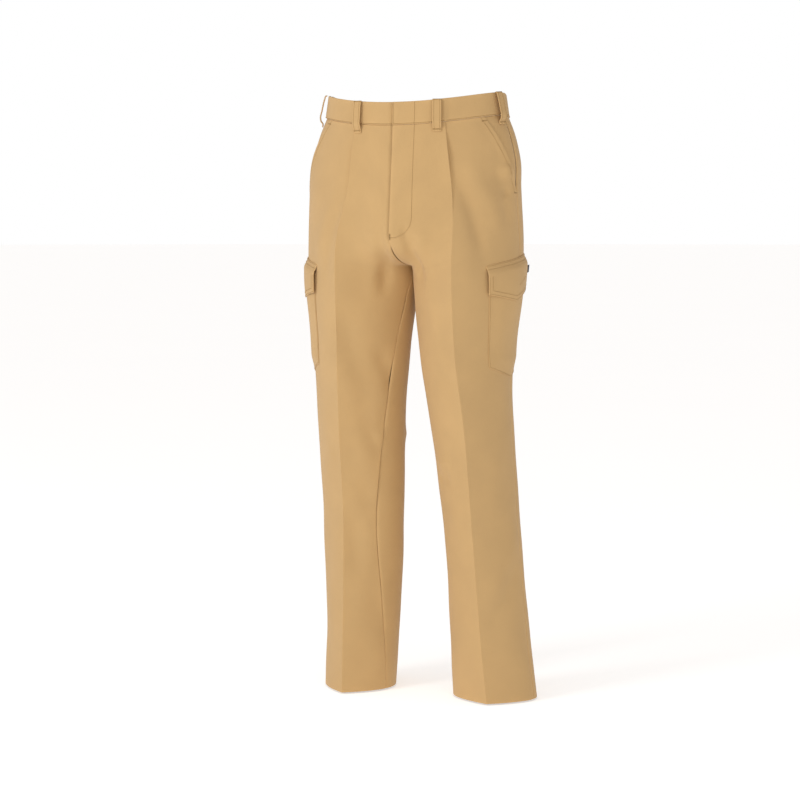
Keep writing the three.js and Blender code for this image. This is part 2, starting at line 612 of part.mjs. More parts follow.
// ---- cargo pockets, fasteners and flaps -----------------------------------------------------------------
const MOUTH_H = INSEAM - CARGO_MOUTH_BELOW_CROTCH;
const POCKET_OUTSIDE = LIE_GAP + CARGO_HOLLOW + CARGO_WALL;
const LOOP_PAD_IN = POCKET_OUTSIDE + SEAM_GAP;
const HOOK_PAD_IN = LOOP_PAD_IN + PAD_CLOTH + SEAM_GAP;
const FLAP_IN = HOOK_PAD_IN + PAD_CLOTH + SEAM_GAP;
const FLAP_OUT = FLAP_IN + FLAP_CLOTH;
const FOLD_H = MOUTH_H + 3;       // height of the flap's fold at the pocket's middle
const cargoCentre = (h) => mix(CARGO_CENTRE_TOP, CARGO_CENTRE_BOTTOM, (MOUTH_H - h) / CARGO_DEPTH);

/** A place on the thigh: forward of the pocket's middle line, at a height. */
function cargoPlace(side, forward, h) {
  return { side, h, s: sAtArc(side, cargoCentre(h) + forward, h) };
}

/** The fold's height: it rises towards the back. */
const foldH = (forward) => FOLD_H - FLAP_SLOPE * forward;

/** Depth of the flap below its fold, deepest at the point; the lower edge slopes less than the fold. */
const flapDepth = (forward) => FLAP_DEPTH + FLAP_POINT * (1 - Math.abs(forward) / FLAP_HALF_WIDTH)
  - (FLAP_SLOPE - 0.1) * forward;

for (const side of ['left', 'right']) {
  const hollow = CARGO_HALF_WIDTH - CARGO_WALL;
  const inset = hollow - 9;
  const columns = [-CARGO_HALF_WIDTH, -hollow, -hollow + 0.3,
    ...spread(-inset, inset, Math.ceil((2 * inset) / COLUMN_PITCH)), hollow - 0.3, hollow, CARGO_HALF_WIDTH];
  const rows = [0, CARGO_WALL, CARGO_WALL + 0.3, ...spread(30, CARGO_DEPTH, 5)];
  const mouth = (forward) => MOUTH_H - FLAP_SLOPE * forward - 1;
  const floor = (forward) => MOUTH_H - CARGO_DEPTH + (CARGO_POINT * Math.abs(forward)) / CARGO_HALF_WIDTH;
  const height = (forward, up) => (up <= CARGO_WALL + 0.3 ? floor(forward) + up
    : mix(floor(forward), mouth(forward), up / CARGO_DEPTH));
  const pocket = slab(columns, rows, (c, r) => cargoPlace(side, c, height(c, r)), POCKET_OUTSIDE,
    (c, r) => (Math.abs(c) > hollow - 0.2 || r < CARGO_WALL + 0.2 ? LIE_GAP : LIE_GAP + CARGO_HOLLOW));
  add(`${side}_cargo_pocket`, pocket, 'twill');

  const padTop = FOLD_H - PAD_DROP;
  const pad = (inside) => slab(spread(-PAD_HALF_WIDTH, PAD_HALF_WIDTH, 4), [padTop - PAD_HEIGHT, padTop],
    (c, h) => cargoPlace(side, c, h - FLAP_SLOPE * c), inside + PAD_CLOTH, inside);
  add(`${side}_pocket_loop_pad`, pad(LOOP_PAD_IN), 'hookAndLoop');
  add(`${side}_flap_hook_pad`, pad(HOOK_PAD_IN), 'hookAndLoop');

  const flapColumns = spread(-FLAP_HALF_WIDTH, FLAP_HALF_WIDTH,
    Math.ceil((2 * FLAP_HALF_WIDTH) / (COLUMN_PITCH * 0.8)));
  const flap = slab(flapColumns, spread(0, 1, 4),
    (c, r) => cargoPlace(side, c, foldH(c) - SEAM_GAP - r * flapDepth(c)), FLAP_OUT, FLAP_IN);
  add(`${side}_cargo_flap`, flap, 'twill');
  const bandLow = FLAP_OUT - 0.9;
  const slope = (r) => Math.min(r / (FLAP_BAND * 0.7), 1);
  const band = slab(flapColumns, [0, FLAP_BAND * 0.7, FLAP_BAND], (c, r) => cargoPlace(side, c, foldH(c) + r),
    (c, r) => mix(bandLow, SEAM_GAP + FLAP_CLOTH, slope(r)),
    (c, r) => mix(bandLow - FLAP_CLOTH, SEAM_GAP, slope(r)));
  add(`${side}_flap_seam_band`, band, 'twill');
}
const ribbonEdge = -FLAP_HALF_WIDTH - SEAM_GAP;
add('flap_ribbon_tab', slab([ribbonEdge - RIBBON_PROUD, ribbonEdge], [-RIBBON_WIDTH, 0],
  (c, r) => cargoPlace('left', c, foldH(c) - RIBBON_DROP + r), FLAP_OUT - 0.1, FLAP_IN + 0.1), 'ribbon');

// ---- fly: facing and shield -----------------------------------------------------------------------------
const flyPlace = (x, down) => ({ ...atX(x, SEAM_H - down), h: SEAM_H - down });
const zipTop = surfaceAtX(ZIP_X, SEAM_H - ZIP_DOWN, 0);
const zipUp = zipTop.clone().sub(surfaceAtX(ZIP_X, SEAM_H - ZIP_DOWN - ZIP_LENGTH, 0)).normalize();
const zipAcross = new THREE.Vector3(1, 0, 0).addScaledVector(zipUp, -zipUp.x).normalize();
const zipIn = zipUp.clone().cross(zipAcross).normalize();
const zipFrame = new THREE.Matrix4().makeBasis(zipAcross, zipIn, zipUp).setPosition(zipTop);
const TAPE_NEAR = TEETH_GAP / 2 + TEETH_WIDTH + SEAM_GAP;     // from the zip's middle to a tape's near edge
const TAPE_FAR = TAPE_NEAR + TAPE_WIDTH;
const FACING_FOLD = ZIP_X + TAPE_FAR - 6;   // from here the facing is folded up to the tape
const FACING_DEPTH = FRONT_RISE - FORK_FRONT - 1;   // it ends where the fork begins
const flyIn = (down) => FLY_ROUND * (1 - quarter((FACING_DEPTH + 6 - down) / FLY_ROUND));

/** Room for the folded facing between the panel and the tape. */
function tapeRoom(x, down) {
  const { side, s, h } = flyPlace(x, down);
  const inZip = surface(side, s, h, -CLOTH - LIE_GAP).applyMatrix4(zipFrame.clone().invert());
  return ZIP_DEPTH - TAPE_THICK / 2 - SEAM_GAP - inZip.y;
}

add('fly_facing', slab([1, 12, FACING_FOLD - 0.3, FACING_FOLD, FLY_WIDTH], spread(1, FACING_DEPTH, 10),
  (x, down) => flyPlace(Math.min(x, Math.max(FLY_WIDTH - flyIn(down), 1 + x / 12)), down),
  -CLOTH - LIE_GAP, (x, down) => -CLOTH - LIE_GAP - (x >= FACING_FOLD && down < ZIP_LENGTH
    ? Math.min(FACING_FOLDED, tapeRoom(x, down)) : FACING_SINGLE)),
'twill');
const shieldColumns = [SHIELD_WIDE[0], SHIELD_SEWN - 0.2, SHIELD_SEWN, 12, SHIELD_WIDE[1]];
add('fly_shield', slab(shieldColumns, spread(1, ZIP_LENGTH + 8, 5), flyPlace,
  (x) => (x < SHIELD_SEWN ? -CLOTH - SEAM_GAP : -SHIELD_DEPTH), -SHIELD_DEPTH - SHIELD_CLOTH), 'twill');

// ---- zip: a straight line with x across it, y into the garment from the outer face and z up along it ----
/** A box by its limits along x, y and z. */
function box([x0, x1], [y0, y1], [z0, z1]) {
  const geometry = new THREE.BoxGeometry(x1 - x0, y1 - y0, z1 - z0);
  return geometry.translate((x0 + x1) / 2, (y0 + y1) / 2, (z0 + z1) / 2);
}

/** An outline in x and z given a thickness, its front face at y = near. */
function plate(outline, thickness, near) {
  const geometry = new THREE.ExtrudeGeometry(outline, { depth: thickness, bevelEnabled: false });
  return geometry.rotateX(Math.PI / 2).translate(0, near + thickness, 0);
}

for (const side of ['left', 'right']) {
  const sign = SIGN[side];
  const across = sign > 0 ? [TAPE_NEAR, TAPE_FAR] : [-TAPE_FAR, -TAPE_NEAR];
  add(`zip_tape_${side}`, box(across, [ZIP_DEPTH - TAPE_THICK / 2, ZIP_DEPTH + TAPE_THICK / 2],
    [-ZIP_LENGTH, 0]), 'tape', zipFrame);
  const near = TEETH_GAP / 2;
  const count = Math.floor((ZIP_LENGTH - 6) / TEETH_PITCH);
  const outline = new THREE.Shape();
  outline.moveTo(sign * (near + TEETH_WIDTH), -2 - count * TEETH_PITCH);
  outline.lineTo(sign * (near + TEETH_WIDTH), -2);
  for (let i = 0; i < count; i += 1) {
    const z = -2 - i * TEETH_PITCH;
    outline.lineTo(sign * near, z);
    outline.lineTo(sign * near, z - TEETH_PITCH / 2);
    outline.lineTo(sign * (near + 0.9), z - TEETH_PITCH / 2);
    outline.lineTo(sign * (near + 0.9), z - TEETH_PITCH);
  }
  outline.closePath();
  add(`zip_teeth_${side}`, plate(outline, TEETH_THICK, ZIP_DEPTH - TEETH_THICK / 2), 'brass', zipFrame);
}
add('zip_bottom_stop', box([-STOP_HALF, STOP_HALF], [ZIP_DEPTH - STOP_THICK / 2, ZIP_DEPTH + STOP_THICK / 2],
  [-ZIP_LENGTH, -ZIP_LENGTH + STOP_HEIGHT]), 'brass', zipFrame);

// Slider: two plates joined by a post between the rows of teeth, and a crown that carries the pull.
const sliderFront = ZIP_DEPTH - TEETH_THICK / 2 - SEAM_GAP - SLIDER_PLATE;
const sliderBack = ZIP_DEPTH + TEETH_THICK / 2 + SEAM_GAP;
const PULL_NEAR = sliderFront - CROWN_CLEAR - PULL_THICK;
const slider = joined(
  box([-SLIDER_HALF, SLIDER_HALF], [sliderFront, sliderFront + SLIDER_PLATE], SLIDER),
  box([-SLIDER_HALF, SLIDER_HALF], [sliderBack, sliderBack + SLIDER_PLATE], SLIDER),
  box([-POST_HALF, POST_HALF], [sliderFront + 0.1, sliderBack + 0.1], [-4, -1.5]),
  box([-CROWN.half, CROWN.half], [PULL_NEAR - 0.2, sliderFront + 0.1], [CROWN.bottom, CROWN.top]));
add('zip_slider', slider, 'brass', zipFrame);
const pullOutline = new THREE.Shape();
pullOutline.moveTo(-PULL_HALF, -1);
pullOutline.lineTo(-PULL_HALF, -PULL_LENGTH);
pullOutline.lineTo(PULL_HALF, -PULL_LENGTH);
pullOutline.lineTo(PULL_HALF, -1);
pullOutline.closePath();
const eye = new THREE.Path();
eye.moveTo(-CROWN.half - EYE_CLEAR, CROWN.top + EYE_CLEAR);
eye.lineTo(CROWN.half + EYE_CLEAR, CROWN.top + EYE_CLEAR);
eye.lineTo(CROWN.half + EYE_CLEAR, CROWN.bottom - EYE_CLEAR);
eye.lineTo(-CROWN.half - EYE_CLEAR, CROWN.bottom - EYE_CLEAR);
eye.closePath();
pullOutline.holes.push(eye);
add('zip_pull', plate(pullOutline, PULL_THICK, PULL_NEAR), 'brass', zipFrame);

// ---- waist closure: underlap of the right band, bar on it, hook inside the left band --------------------
const bandH = SEAM_H + 3;
const underlapTop = TOP_H - 3;
const underlapOut = (x) => mix(LINING_INSIDE - SEAM_GAP, -UNDERLAP_DEPTH, smooth((x + 4) / 12));
add('waistband_underlap', slab([UNDERLAP_WIDE[0], -4, 0, 4, 8, 22, UNDERLAP_WIDE[1]], [bandH, underlapTop],
  (x, h) => ({ ...atX(x, h), h }), underlapOut, (x) => underlapOut(x) - UNDERLAP_CLOTH), 'twill');

const hookH = (bandH + underlapTop) / 2;
const hookSeat = surfaceAtX(HOOK_X - HOOK_PLATE[0], hookH, 0);
const hookAlong = surfaceAtX(HOOK_X - 2 * HOOK_PLATE[0], hookH, 0)
  .sub(surfaceAtX(HOOK_X, hookH, 0)).normalize();
const hookIn = new THREE.Vector3(0, 0, 1).cross(hookAlong).normalize();
const hookFrame = new THREE.Matrix4().makeBasis(hookAlong, hookIn, new THREE.Vector3(0, 0, 1))
  .setPosition(hookSeat);
const hookNear = -LINING_INSIDE + SEAM_GAP + 0.3;
const clawNear = hookNear + 2 * HOOK_WIRE + CLAW_CLEAR;
const clawEnd = HOOK_PLATE[0] + CLAW_LENGTH;
const hookBend = HOOK_PLATE[0] + HOOK_WIRE;
const hook = joined(
  box(HOOK_PLATE, [hookNear, hookNear + HOOK_WIRE], [-HOOK_HALF, HOOK_HALF]),
  box([HOOK_PLATE[0], hookBend], [hookNear, clawNear + HOOK_WIRE], [-CLAW_HALF, CLAW_HALF]),
  box([HOOK_PLATE[0], clawEnd], [clawNear, clawNear + HOOK_WIRE], [-CLAW_HALF, CLAW_HALF]));
add('waist_hook', hook, 'steel', hookFrame);
const barNear = hookNear + HOOK_WIRE + SEAM_GAP;
const barFoot = UNDERLAP_DEPTH - SEAM_GAP - 0.1;
const bar = joined(
  box(BAR_ALONG, [barNear, barNear + HOOK_WIRE], [-BAR_HALF, BAR_HALF]),
  box(BAR_ALONG, [barNear, barFoot], [-BAR_HALF, 1 - BAR_HALF]),
  box(BAR_ALONG, [barNear, barFoot], [BAR_HALF - 1, BAR_HALF]));
add('waist_bar', bar, 'steel', hookFrame);

trousers.position.z = -TOP_H;

export default trousers;
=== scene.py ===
"""Cargo work trousers: the cloth, sewing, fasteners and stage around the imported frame.

The garment's surface is described as it is in the frame: a side, a place s round it (0 centre front or
inseam, 1 front crease, 2 side seam, 3 back crease, 4 centre back or inseam) and a height above the hem.
Lengths in this file are millimetres until a mesh is made.
"""
import json
import math

import bmesh
import bpy
import numpy as np
from mathutils import Matrix, Vector


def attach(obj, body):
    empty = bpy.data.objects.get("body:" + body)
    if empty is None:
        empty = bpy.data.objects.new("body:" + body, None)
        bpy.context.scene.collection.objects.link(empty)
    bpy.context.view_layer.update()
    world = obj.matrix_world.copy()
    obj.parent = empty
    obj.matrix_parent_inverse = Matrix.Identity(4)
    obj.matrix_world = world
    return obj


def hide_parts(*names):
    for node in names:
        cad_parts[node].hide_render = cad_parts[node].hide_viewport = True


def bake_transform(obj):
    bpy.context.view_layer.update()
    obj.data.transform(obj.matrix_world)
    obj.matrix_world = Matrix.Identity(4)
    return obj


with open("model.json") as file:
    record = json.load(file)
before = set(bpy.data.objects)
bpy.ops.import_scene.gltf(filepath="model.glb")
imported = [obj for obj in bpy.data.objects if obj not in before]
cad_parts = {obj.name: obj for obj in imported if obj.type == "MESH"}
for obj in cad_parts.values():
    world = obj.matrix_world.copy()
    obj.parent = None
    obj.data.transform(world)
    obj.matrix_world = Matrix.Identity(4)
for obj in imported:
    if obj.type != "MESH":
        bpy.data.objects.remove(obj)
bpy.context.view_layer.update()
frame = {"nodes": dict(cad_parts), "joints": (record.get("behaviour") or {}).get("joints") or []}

bl_info = {
    "name": "Cargo work trousers",
    "version": (1, 0, 0),
    "blender": (4, 5, 0),
    "location": "View3D > Sidebar > Trousers",
    "description": "Sews the cloth of a pair of cargo work trousers around its frame",
    "category": "Object",
}

# ---- the frame's sizes ------------------------------------------------------------------------------
INSEAM, FRONT_RISE, BAND_HEIGHT = 738, 234, 38
SEAM_H = INSEAM + FRONT_RISE            # waist seam
TOP_H = SEAM_H + BAND_HEIGHT            # top of the waistband, height 0 of the frame
SIDE_LIFT, BACK_LIFT = 18, 8
WAIST_HALF_WIDTH, WAIST_HALF_DEPTH = 163, 107
HIP_HALF_WIDTH, HIP_HALF_DEPTH = 191, 124
SEAT, SEAT_CURVE = 3, 1.3
BAND_TAPER, BAND_LEAN = 6, 2
HEM_GIRTH, KNEE_GIRTH, THIGH_GIRTH = 440, 462, 650
FORK_FRONT, FORK_BACK, CROTCH_FORWARD = 52, 100, 20
OUTSEAM_FORWARD = 12
SEAM_GAP = 0.3
SIGN = {"left": 1, "right": -1}
LEG = {  # share of the inseam, centre, half width, turn in degrees, inseam's place
    "left": [(0, 145, 73, 8, 2), (0.14, 136, 69, 8, 2), (0.4, 120, 66, 9, 4), (0.62, 103, 71, 12, 10),
             (0.8, 91, 80, 10, 16), (1, 94, 94, 7, CROTCH_FORWARD)],
    "right": [(0, 107, 63, 0, 22), (0.14, 102, 65, 2, 32), (0.4, 100, 74, 4, 46), (0.62, 104, 79, 3, 40),
              (0.8, 103, 86, 2, 32), (1, 99, 99, 2, CROTCH_FORWARD)],
}
GIRTH = [(0, HEM_GIRTH), (0.14, HEM_GIRTH + 6), (0.4, KNEE_GIRTH), (0.62, KNEE_GIRTH + 44),
         (0.8, (KNEE_GIRTH + THIGH_GIRTH) / 2 + 10), (1, THIGH_GIRTH)]
FLARE = [(0, 1.0), (0.35, 1.0), (0.52, 0.97), (0.69, 0.86), (0.86, 0.5), (1, 0)]
SWAY = [(0, 5), (0.52, 5), (0.69, 2), (1, 0)]
CREASE = {"left": [(0, 113), (0.5, 103), (1, 87)], "right": [(0, 101), (0.5, 83), (1, 73)]}
CREASE_RIDGE, BACK_CREASE, TORSO_BLEND = 0.14, 0.5, 0.62
SLANT_TOP_S, SLANT_DROP = 1.55, 122
CARGO_HALF_WIDTH, CARGO_DEPTH, CARGO_POINT = 55, 185, 19
CARGO_CENTRE_TOP, CARGO_CENTRE_BOTTOM = 24, 2
MOUTH_H = INSEAM - 4
FOLD_H = MOUTH_H + 3
FLAP_HALF_WIDTH, FLAP_DEPTH, FLAP_POINT, FLAP_SLOPE, FLAP_BAND = 59, 40, 17, 0.17, 12
PAD_HALF_WIDTH, PAD_HEIGHT, PAD_DROP = 24, 15, 16
TAB_SEWN_IN, TAB_OUT, TAB_DOWN, TAB_HEIGHT = 3, 6.2, 22, 13
FLAP_ROW_FROM = 7                       # the flap's rows start this far below its fold
ZIP_X, ZIP_LENGTH, ZIP_DEPTH, ZIP_DOWN = 12, 162, 7.9, 4
TAPE_NEAR, TAPE_WIDTH, TAPE_THICK = 3.5, 12, 0.8
FLY_WIDTH, FLY_ROUND = 37, 34
WELT_DROP, WELT_HEIGHT = 78, 12
WELT_FROM_S, WELT_TO_S, WELT_OUT = 2.5, 3.1667, 1.5
BACK_BAG_FROM_S = 2.3333
BUTTON_RADIUS, BUTTON_THICK, BUTTON_S = 7.5, 2.4, 2.8
BUTTON_RINGS = ((1.3, 0.4), (0.9, -0.9), (0.6, 0.0))      # from the rim in: width and rise of each ring
HOLE_RADIUS, HOLE_OUT = 0.8, 1.7
LOOP_WIDTH, LOOP_BELOW, LOOP_END = 15, 15, 7
FRONT_LOOP_X = {"left": 73, "right": -66}
SIDE_LOOP_S, BACK_LOOP_X = 1.86, 78

# ---- how the cloth lies on the frame ----------------------------------------------------------------
S_LENGTH, MOUTH_S_LENGTH = 110, 105     # about how much cloth one step of s takes up
SEAM_EDGE_S = 0.0013                    # a panel's edge stops this far short of its seam, in s
SEAM_DIP, INSEAM_DIP, SEAM_ROLL = 1.3, 0.9, 1.6     # how deep cloth rolls into a seam, over what length
MOUTH_GAPE, GAPE_FROM_C = 2.2, 1.75     # how far a side pocket's mouth stands open, and from where
DART_X, DART_DIP, DART_ROLL = 84, 1.2, 2.0          # the back dart, from the centre back
PLEAT_FROM_H, PLEAT_RUN = 800, 130      # height where the pleat starts to open, over what height
FLY_FROM_H, FLY_RUN = 772, 16           # height where the fly's overlap starts, over what height
LAP_OVER, LAP_OVER_WIDTH, LAP_UNDER, LAP_UNDER_WIDTH = 1.7, 46, -2.4, 7
CARGO_EDGE_OUT, CARGO_FULL = 1.2, 30    # where a cargo pocket's edge lies, and how far in it is full
BAND_OUT, BAND_DIP, BAND_ROLL = 1.5, 1.0, 1.2       # outside of the band, and its roll at the waist seam
LINING_GAP, BAND_ROW_UP = 0.5, 1.8      # between band and lining; band's row above the waist seam
FACING_OUT, BAG_OUT, BACK_BAG_OUT, FLY_FACING_OUT = -1.35, -3.0, -2.0, -1.3     # layers inside the shell
LINING_THICK, FACING_THICK, FLY_FACING_THICK, SHIELD_THICK = 0.8, 0.8, 0.9, 1.1
UNDERLAP_THICK, WELT_THICK, PATCH_THICK, FLAP_THICK = 1.6, 1.2, 1.1, 1.5
LOOP_PAD_THICK, HOOK_PAD_THICK, RIBBON_THICK = 0.6, 0.5, 1.0
LOOP_PAD_OUT, HOOK_PAD_OUT = 0.8, -1.65     # from the outside of the pocket and of the flap
POCKET_BAG_DEPTH, BACK_BAG_DOWN, BACK_BAG_UP = 214, 120, 40
STITCH_SHARE, THREAD_LIFT = 0.86, 0.12  # a stitch's share of its pitch, and how high it lies
ROW_OUT, POINT_SLANT = 0.05, 1.06       # rows on a patch; what its slanting lower edge adds to a gap
TACK_PITCH, TACK_LENGTH = 1.4, 2.0      # bartacks
LOOP_TACK_PITCH, LOOP_TACK_LENGTH, LOOP_ROW_IN = 1.5, 2.2, 2.6

# Soft folds of the worn cloth: side, crease they are measured from, then at each end the distance from
# that crease (towards the side seam in front, towards the inseam behind) and the height, width, relief.
FOLDS = [
    ("left", 1, 8, 890, 60, 750, 13, -3.2), ("left", 1, 28, 905, 92, 785, 17, 2.2),
    ("left", 1, 10, 840, 34, 700, 20, 1.6), ("left", 1, 78, 900, 104, 800, 12, -1.5),
    ("left", 1, -70, 790, -84, 716, 9, -2.6), ("left", 1, -52, 800, -66, 690, 12, 1.8),
    ("left", 1, -46, 640, -12, 520, 22, -1.5), ("left", 1, 96, 300, 14, 160, 17, 1.5),
    ("left", 1, 90, 240, 10, 110, 14, -1.3), ("left", 1, 70, 420, 30, 300, 18, 1.2),
    ("left", 1, -80, 402, -40, 412, 15, 2.0), ("left", 1, -84, 372, -46, 384, 12, -2.0),
    ("left", 1, -52, 330, -16, 250, 16, 0.9), ("left", 1, 92, 610, 30, 560, 18, -1.0),
    ("right", 1, -92, 782, -84, 690, 11, -3.0), ("right", 1, -70, 800, -62, 680, 14, 1.8),
    ("right", 1, -6, 660, -44, 530, 20, -2.4), ("right", 1, -44, 545, -50, 420, 18, -1.5),
    ("right", 1, -74, 596, -104, 520, 15, -2.2), ("right", 1, -28, 480, -60, 330, 18, 1.4),
    ("right", 1, -80, 812, -86, 716, 10, -2.2),
    ("left", 1, -84, 806, -78, 742, 8, -2.6), ("left", 1, -62, 700, -30, 560, 16, 1.4),
    ("right", 1, -12, 330, -22, 200, 15, -1.2), ("right", 1, 22, 880, 60, 740, 18, 1.6),
    ("right", 1, 6, 850, 30, 700, 14, -1.4), ("right", 1, -40, 900, -30, 800, 16, -1.0),
    ("right", 1, -100, 452, -60, 440, 13, 1.8), ("right", 1, 20, 420, 60, 380, 18, 1.0),
    ("left", 1, 98, 896, 100, 872, 12, 3.4), ("left", 1, 96, 862, 100, 846, 9, -2.0),
    ("left", 3, 84, 738, -30, 660, 13, -3.2), ("left", 3, 96, 706, -10, 606, 15, 2.4),
    ("right", 3, 84, 738, -30, 655, 13, -3.2), ("right", 3, 96, 700, -10, 600, 15, 2.4),
    ("left", 3, 70, 820, -40, 800, 20, 1.2), ("right", 3, 70, 826, -40, 800, 20, 1.2),
    ("left", 3, 70, 452, -50, 436, 13, 3.0), ("left", 3, 66, 424, -40, 404, 11, -2.6),
    ("left", 3, 62, 396, -30, 372, 12, 1.8), ("right", 3, 96, 446, -20, 424, 13, 4.4),
    ("right", 3, 90, 416, -30, 398, 11, -2.8), ("right", 3, 84, 470, 0, 458, 12, -2.2),
    ("right", 3, 88, 384, -30, 362, 12, 1.8), ("left", 3, -20, 300, 40, 200, 20, 1.2),
    ("right", 3, -20, 310, 40, 190, 20, 1.2), ("left", 3, 60, 120, -30, 60, 18, -1.2),
    ("right", 3, 60, 130, -30, 70, 18, -1.2), ("left", 3, 50, 930, 20, 860, 14, -1.2),
    ("right", 3, 50, 930, 20, 860, 14, -1.2),
]


# ---- curves -----------------------------------------------------------------------------------------
def hermite(p0, p1, m0, m1, t):
    t2, t3 = t * t, t * t * t
    return (2 * t3 - 3 * t2 + 1) * p0 + (t3 - 2 * t2 + t) * m0 + (3 * t2 - 2 * t3) * p1 + (t3 - t2) * m1


def through(pairs, t, flat_end=False):
    """Smooth curve through (t, value) pairs, constant beyond its ends; flat_end makes it arrive level."""
    last = len(pairs) - 1
    if t <= pairs[0][0]:
        return pairs[0][1]
    if t >= pairs[last][0]:
        return pairs[last][1]
    i = max(k for k in range(last) if pairs[k][0] < t)

    def slope(k):
        if flat_end and k == last:
            return 0
        a, b = pairs[max(k - 1, 0)], pairs[min(k + 1, last)]
        return (b[1] - a[1]) / (b[0] - a[0])
    (t0, v0), (t1, v1) = pairs[i], pairs[i + 1]
    return hermite(v0, v1, slope(i) * (t1 - t0), slope(i + 1) * (t1 - t0), (t - t0) / (t1 - t0))


def smooth(t):
    c = np.clip(t, 0, 1)
    return c * c * (3 - 2 * c)


def mix(a, b, t):
    return a + (b - a) * t


def quarter(t):
    return math.sqrt(max(0, 1 - (1 - min(t, 1)) ** 2))


# ---- the garment's surface --------------------------------------------------------------------------
def leg_section(side, h):
    """Four arcs (start, end and their tangents) of a leg: two parabolas that meet in the creases."""
    sign, u = SIGN[side], min(h / INSEAM, 1)
    centre, half, turn, seam = (through([(row[0], row[k]) for row in LEG[side]], u, True)
                                for k in (1, 2, 3, 4))
    depth = math.sqrt((through(GIRTH, u, True) / 2) ** 2 - (16 / 3) * half * half) / 2
    turn = math.radians(turn)

    def way(out, forward):
        return np.array([sign * (out * math.cos(turn) + forward * math.sin(turn)),
                         out * math.sin(turn) - forward * math.cos(turn)])

    def arc(face, start, end):
        span, middle = end - start, np.array([sign * centre, 0])
        return [middle + way(face * half * (1 - start * start), depth * start),
                middle + way(face * half * (1 - end * end), depth * end),
                way(-2 * face * half * start * span, depth * span),
                way(-2 * face * half * end * span, depth * span)]
    inner, outer = seam / depth, OUTSEAM_FORWARD / depth
    return [arc(-1, inner, 1), arc(1, 1, outer), arc(1, outer, -1), arc(-1, -1, inner)]


def torso_size(side, h):
    """Half width, front and back half depth of the torso at a height."""
    v = (h - INSEAM) / FRONT_RISE
    above = max(h - SEAM_H, 0) / BAND_HEIGHT
    width = mix(WAIST_HALF_WIDTH, HIP_HALF_WIDTH, through(FLARE, v)) - SIGN[side] * through(SWAY, v)
    straight = 1 - FORK_FRONT / FRONT_RISE
    down = min(max(1 - v, 0), straight) / straight
    front = mix(WAIST_HALF_DEPTH, HIP_HALF_DEPTH, down)
    back = mix(WAIST_HALF_DEPTH, HIP_HALF_DEPTH + SEAT, smooth(down * SEAT_CURVE))
    return width - BAND_TAPER * above, front - BAND_LEAN * above, back - BAND_LEAN * above


def torso_section(side, h):
    sign, v = SIGN[side], min((h - INSEAM) / FRONT_RISE, 1)
    width, front, back = torso_size(side, h)
    crease = through(CREASE[side], v)
    angles = [0, math.asin(crease / width), math.pi / 2 - OUTSEAM_FORWARD / front,
              math.pi - math.asin(BACK_CREASE), math.pi]
    ridge = [0, -1, 0, 1, 0]

    def depth(angle):
        return back if angle > math.pi / 2 else front

    def place(angle):
        return np.array([sign * width * math.sin(angle), -depth(angle) * math.cos(angle)])
    arcs = []
    for k in range(4):
        span = angles[k + 1] - angles[k]
        m0, m1 = (np.array([sign * span * width * math.cos(a), span * depth(a) * math.sin(a)])
                  for a in (angles[k], angles[k + 1]))
        m0[1] -= ridge[k] * CREASE_RIDGE * np.hypot(*m0)
        m1[1] += ridge[k + 1] * CREASE_RIDGE * np.hypot(*m1)
        arcs.append([place(angles[k]), place(angles[k + 1]), m0, m1])
    return arcs


def turned(tangent, direction, share):
    """A tangent turned towards a direction, its length kept."""
    size = np.hypot(*tangent)
    new = mix(tangent / size, np.array(direction), share)
    return new * size / np.hypot(*new)


def section(side, h):
    """The four arcs of one side at a height, leg and torso merged over the upper thigh."""
    leg = leg_section(side, h)
    near = float(smooth((h - INSEAM + FORK_FRONT) / FORK_FRONT))
    leg[0][0] = mix(leg[0][0], np.array([0, -CROTCH_FORWARD]), near)
    leg[3][1] = leg[0][0]
    if h <= INSEAM:
        return leg
    torso = torso_section(side, h)
    share = float(smooth((h - INSEAM) / (FRONT_RISE * TORSO_BLEND)))
    _, front, back = torso_size(side, h)
    knots = [mix(leg[k][0], torso[k][0], share) for k in range(4)]
    knots[0] = np.array([0, -mix(CROTCH_FORWARD, front, quarter((h - INSEAM) / FORK_FRONT))])
    knots.append(np.array([0, mix(-CROTCH_FORWARD, back, quarter((h - INSEAM) / FORK_BACK))]))
    arcs = []
    for k in range(4):
        p0, p1 = knots[k], knots[k + 1]
        tangents = [np.hypot(*(p1 - p0)) * mix(leg[k][m] / np.hypot(*(leg[k][1] - leg[k][0])),
                                               torso[k][m] / np.hypot(*(torso[k][1] - torso[k][0])), share)
                    for m in (2, 3)]
        arcs.append([p0, p1, *tangents])
    arcs[0][2] = turned(arcs[0][2], (SIGN[side], 0), float(smooth((h - INSEAM) / FORK_FRONT)))
    arcs[3][3] = turned(arcs[3][3], (-SIGN[side], 0), float(smooth((h - INSEAM) / FORK_BACK)))
    return arcs


def lift(side, s, x, h):
    """How far a point lies above its height along the centre front."""
    reach = np.minimum(np.abs(x) / torso_size(side, h)[0], 1)
    away = 1 - np.sqrt(1 - reach * reach)
    full = np.where(s <= 2, SIDE_LIFT * reach * reach, BACK_LIFT + (SIDE_LIFT - BACK_LIFT) * away * away)
    return full * smooth((h - INSEAM) / FRONT_RISE)


PER_QUARTER = 100                       # table columns between two knots of the section
FORK_EASE = 15                          # how far up and down the hanging cloth rounds off the fork
EASE_UP, EASE_REACH = 4, 38             # middle of the eased heights above the inseam, their spread
EASE_FROM_S, EASE_RUN_S = 0.03, 0.35    # the easing starts this far from a seam and takes this long
TABLE_STEP, FORK_ROWS = 3.0, 28


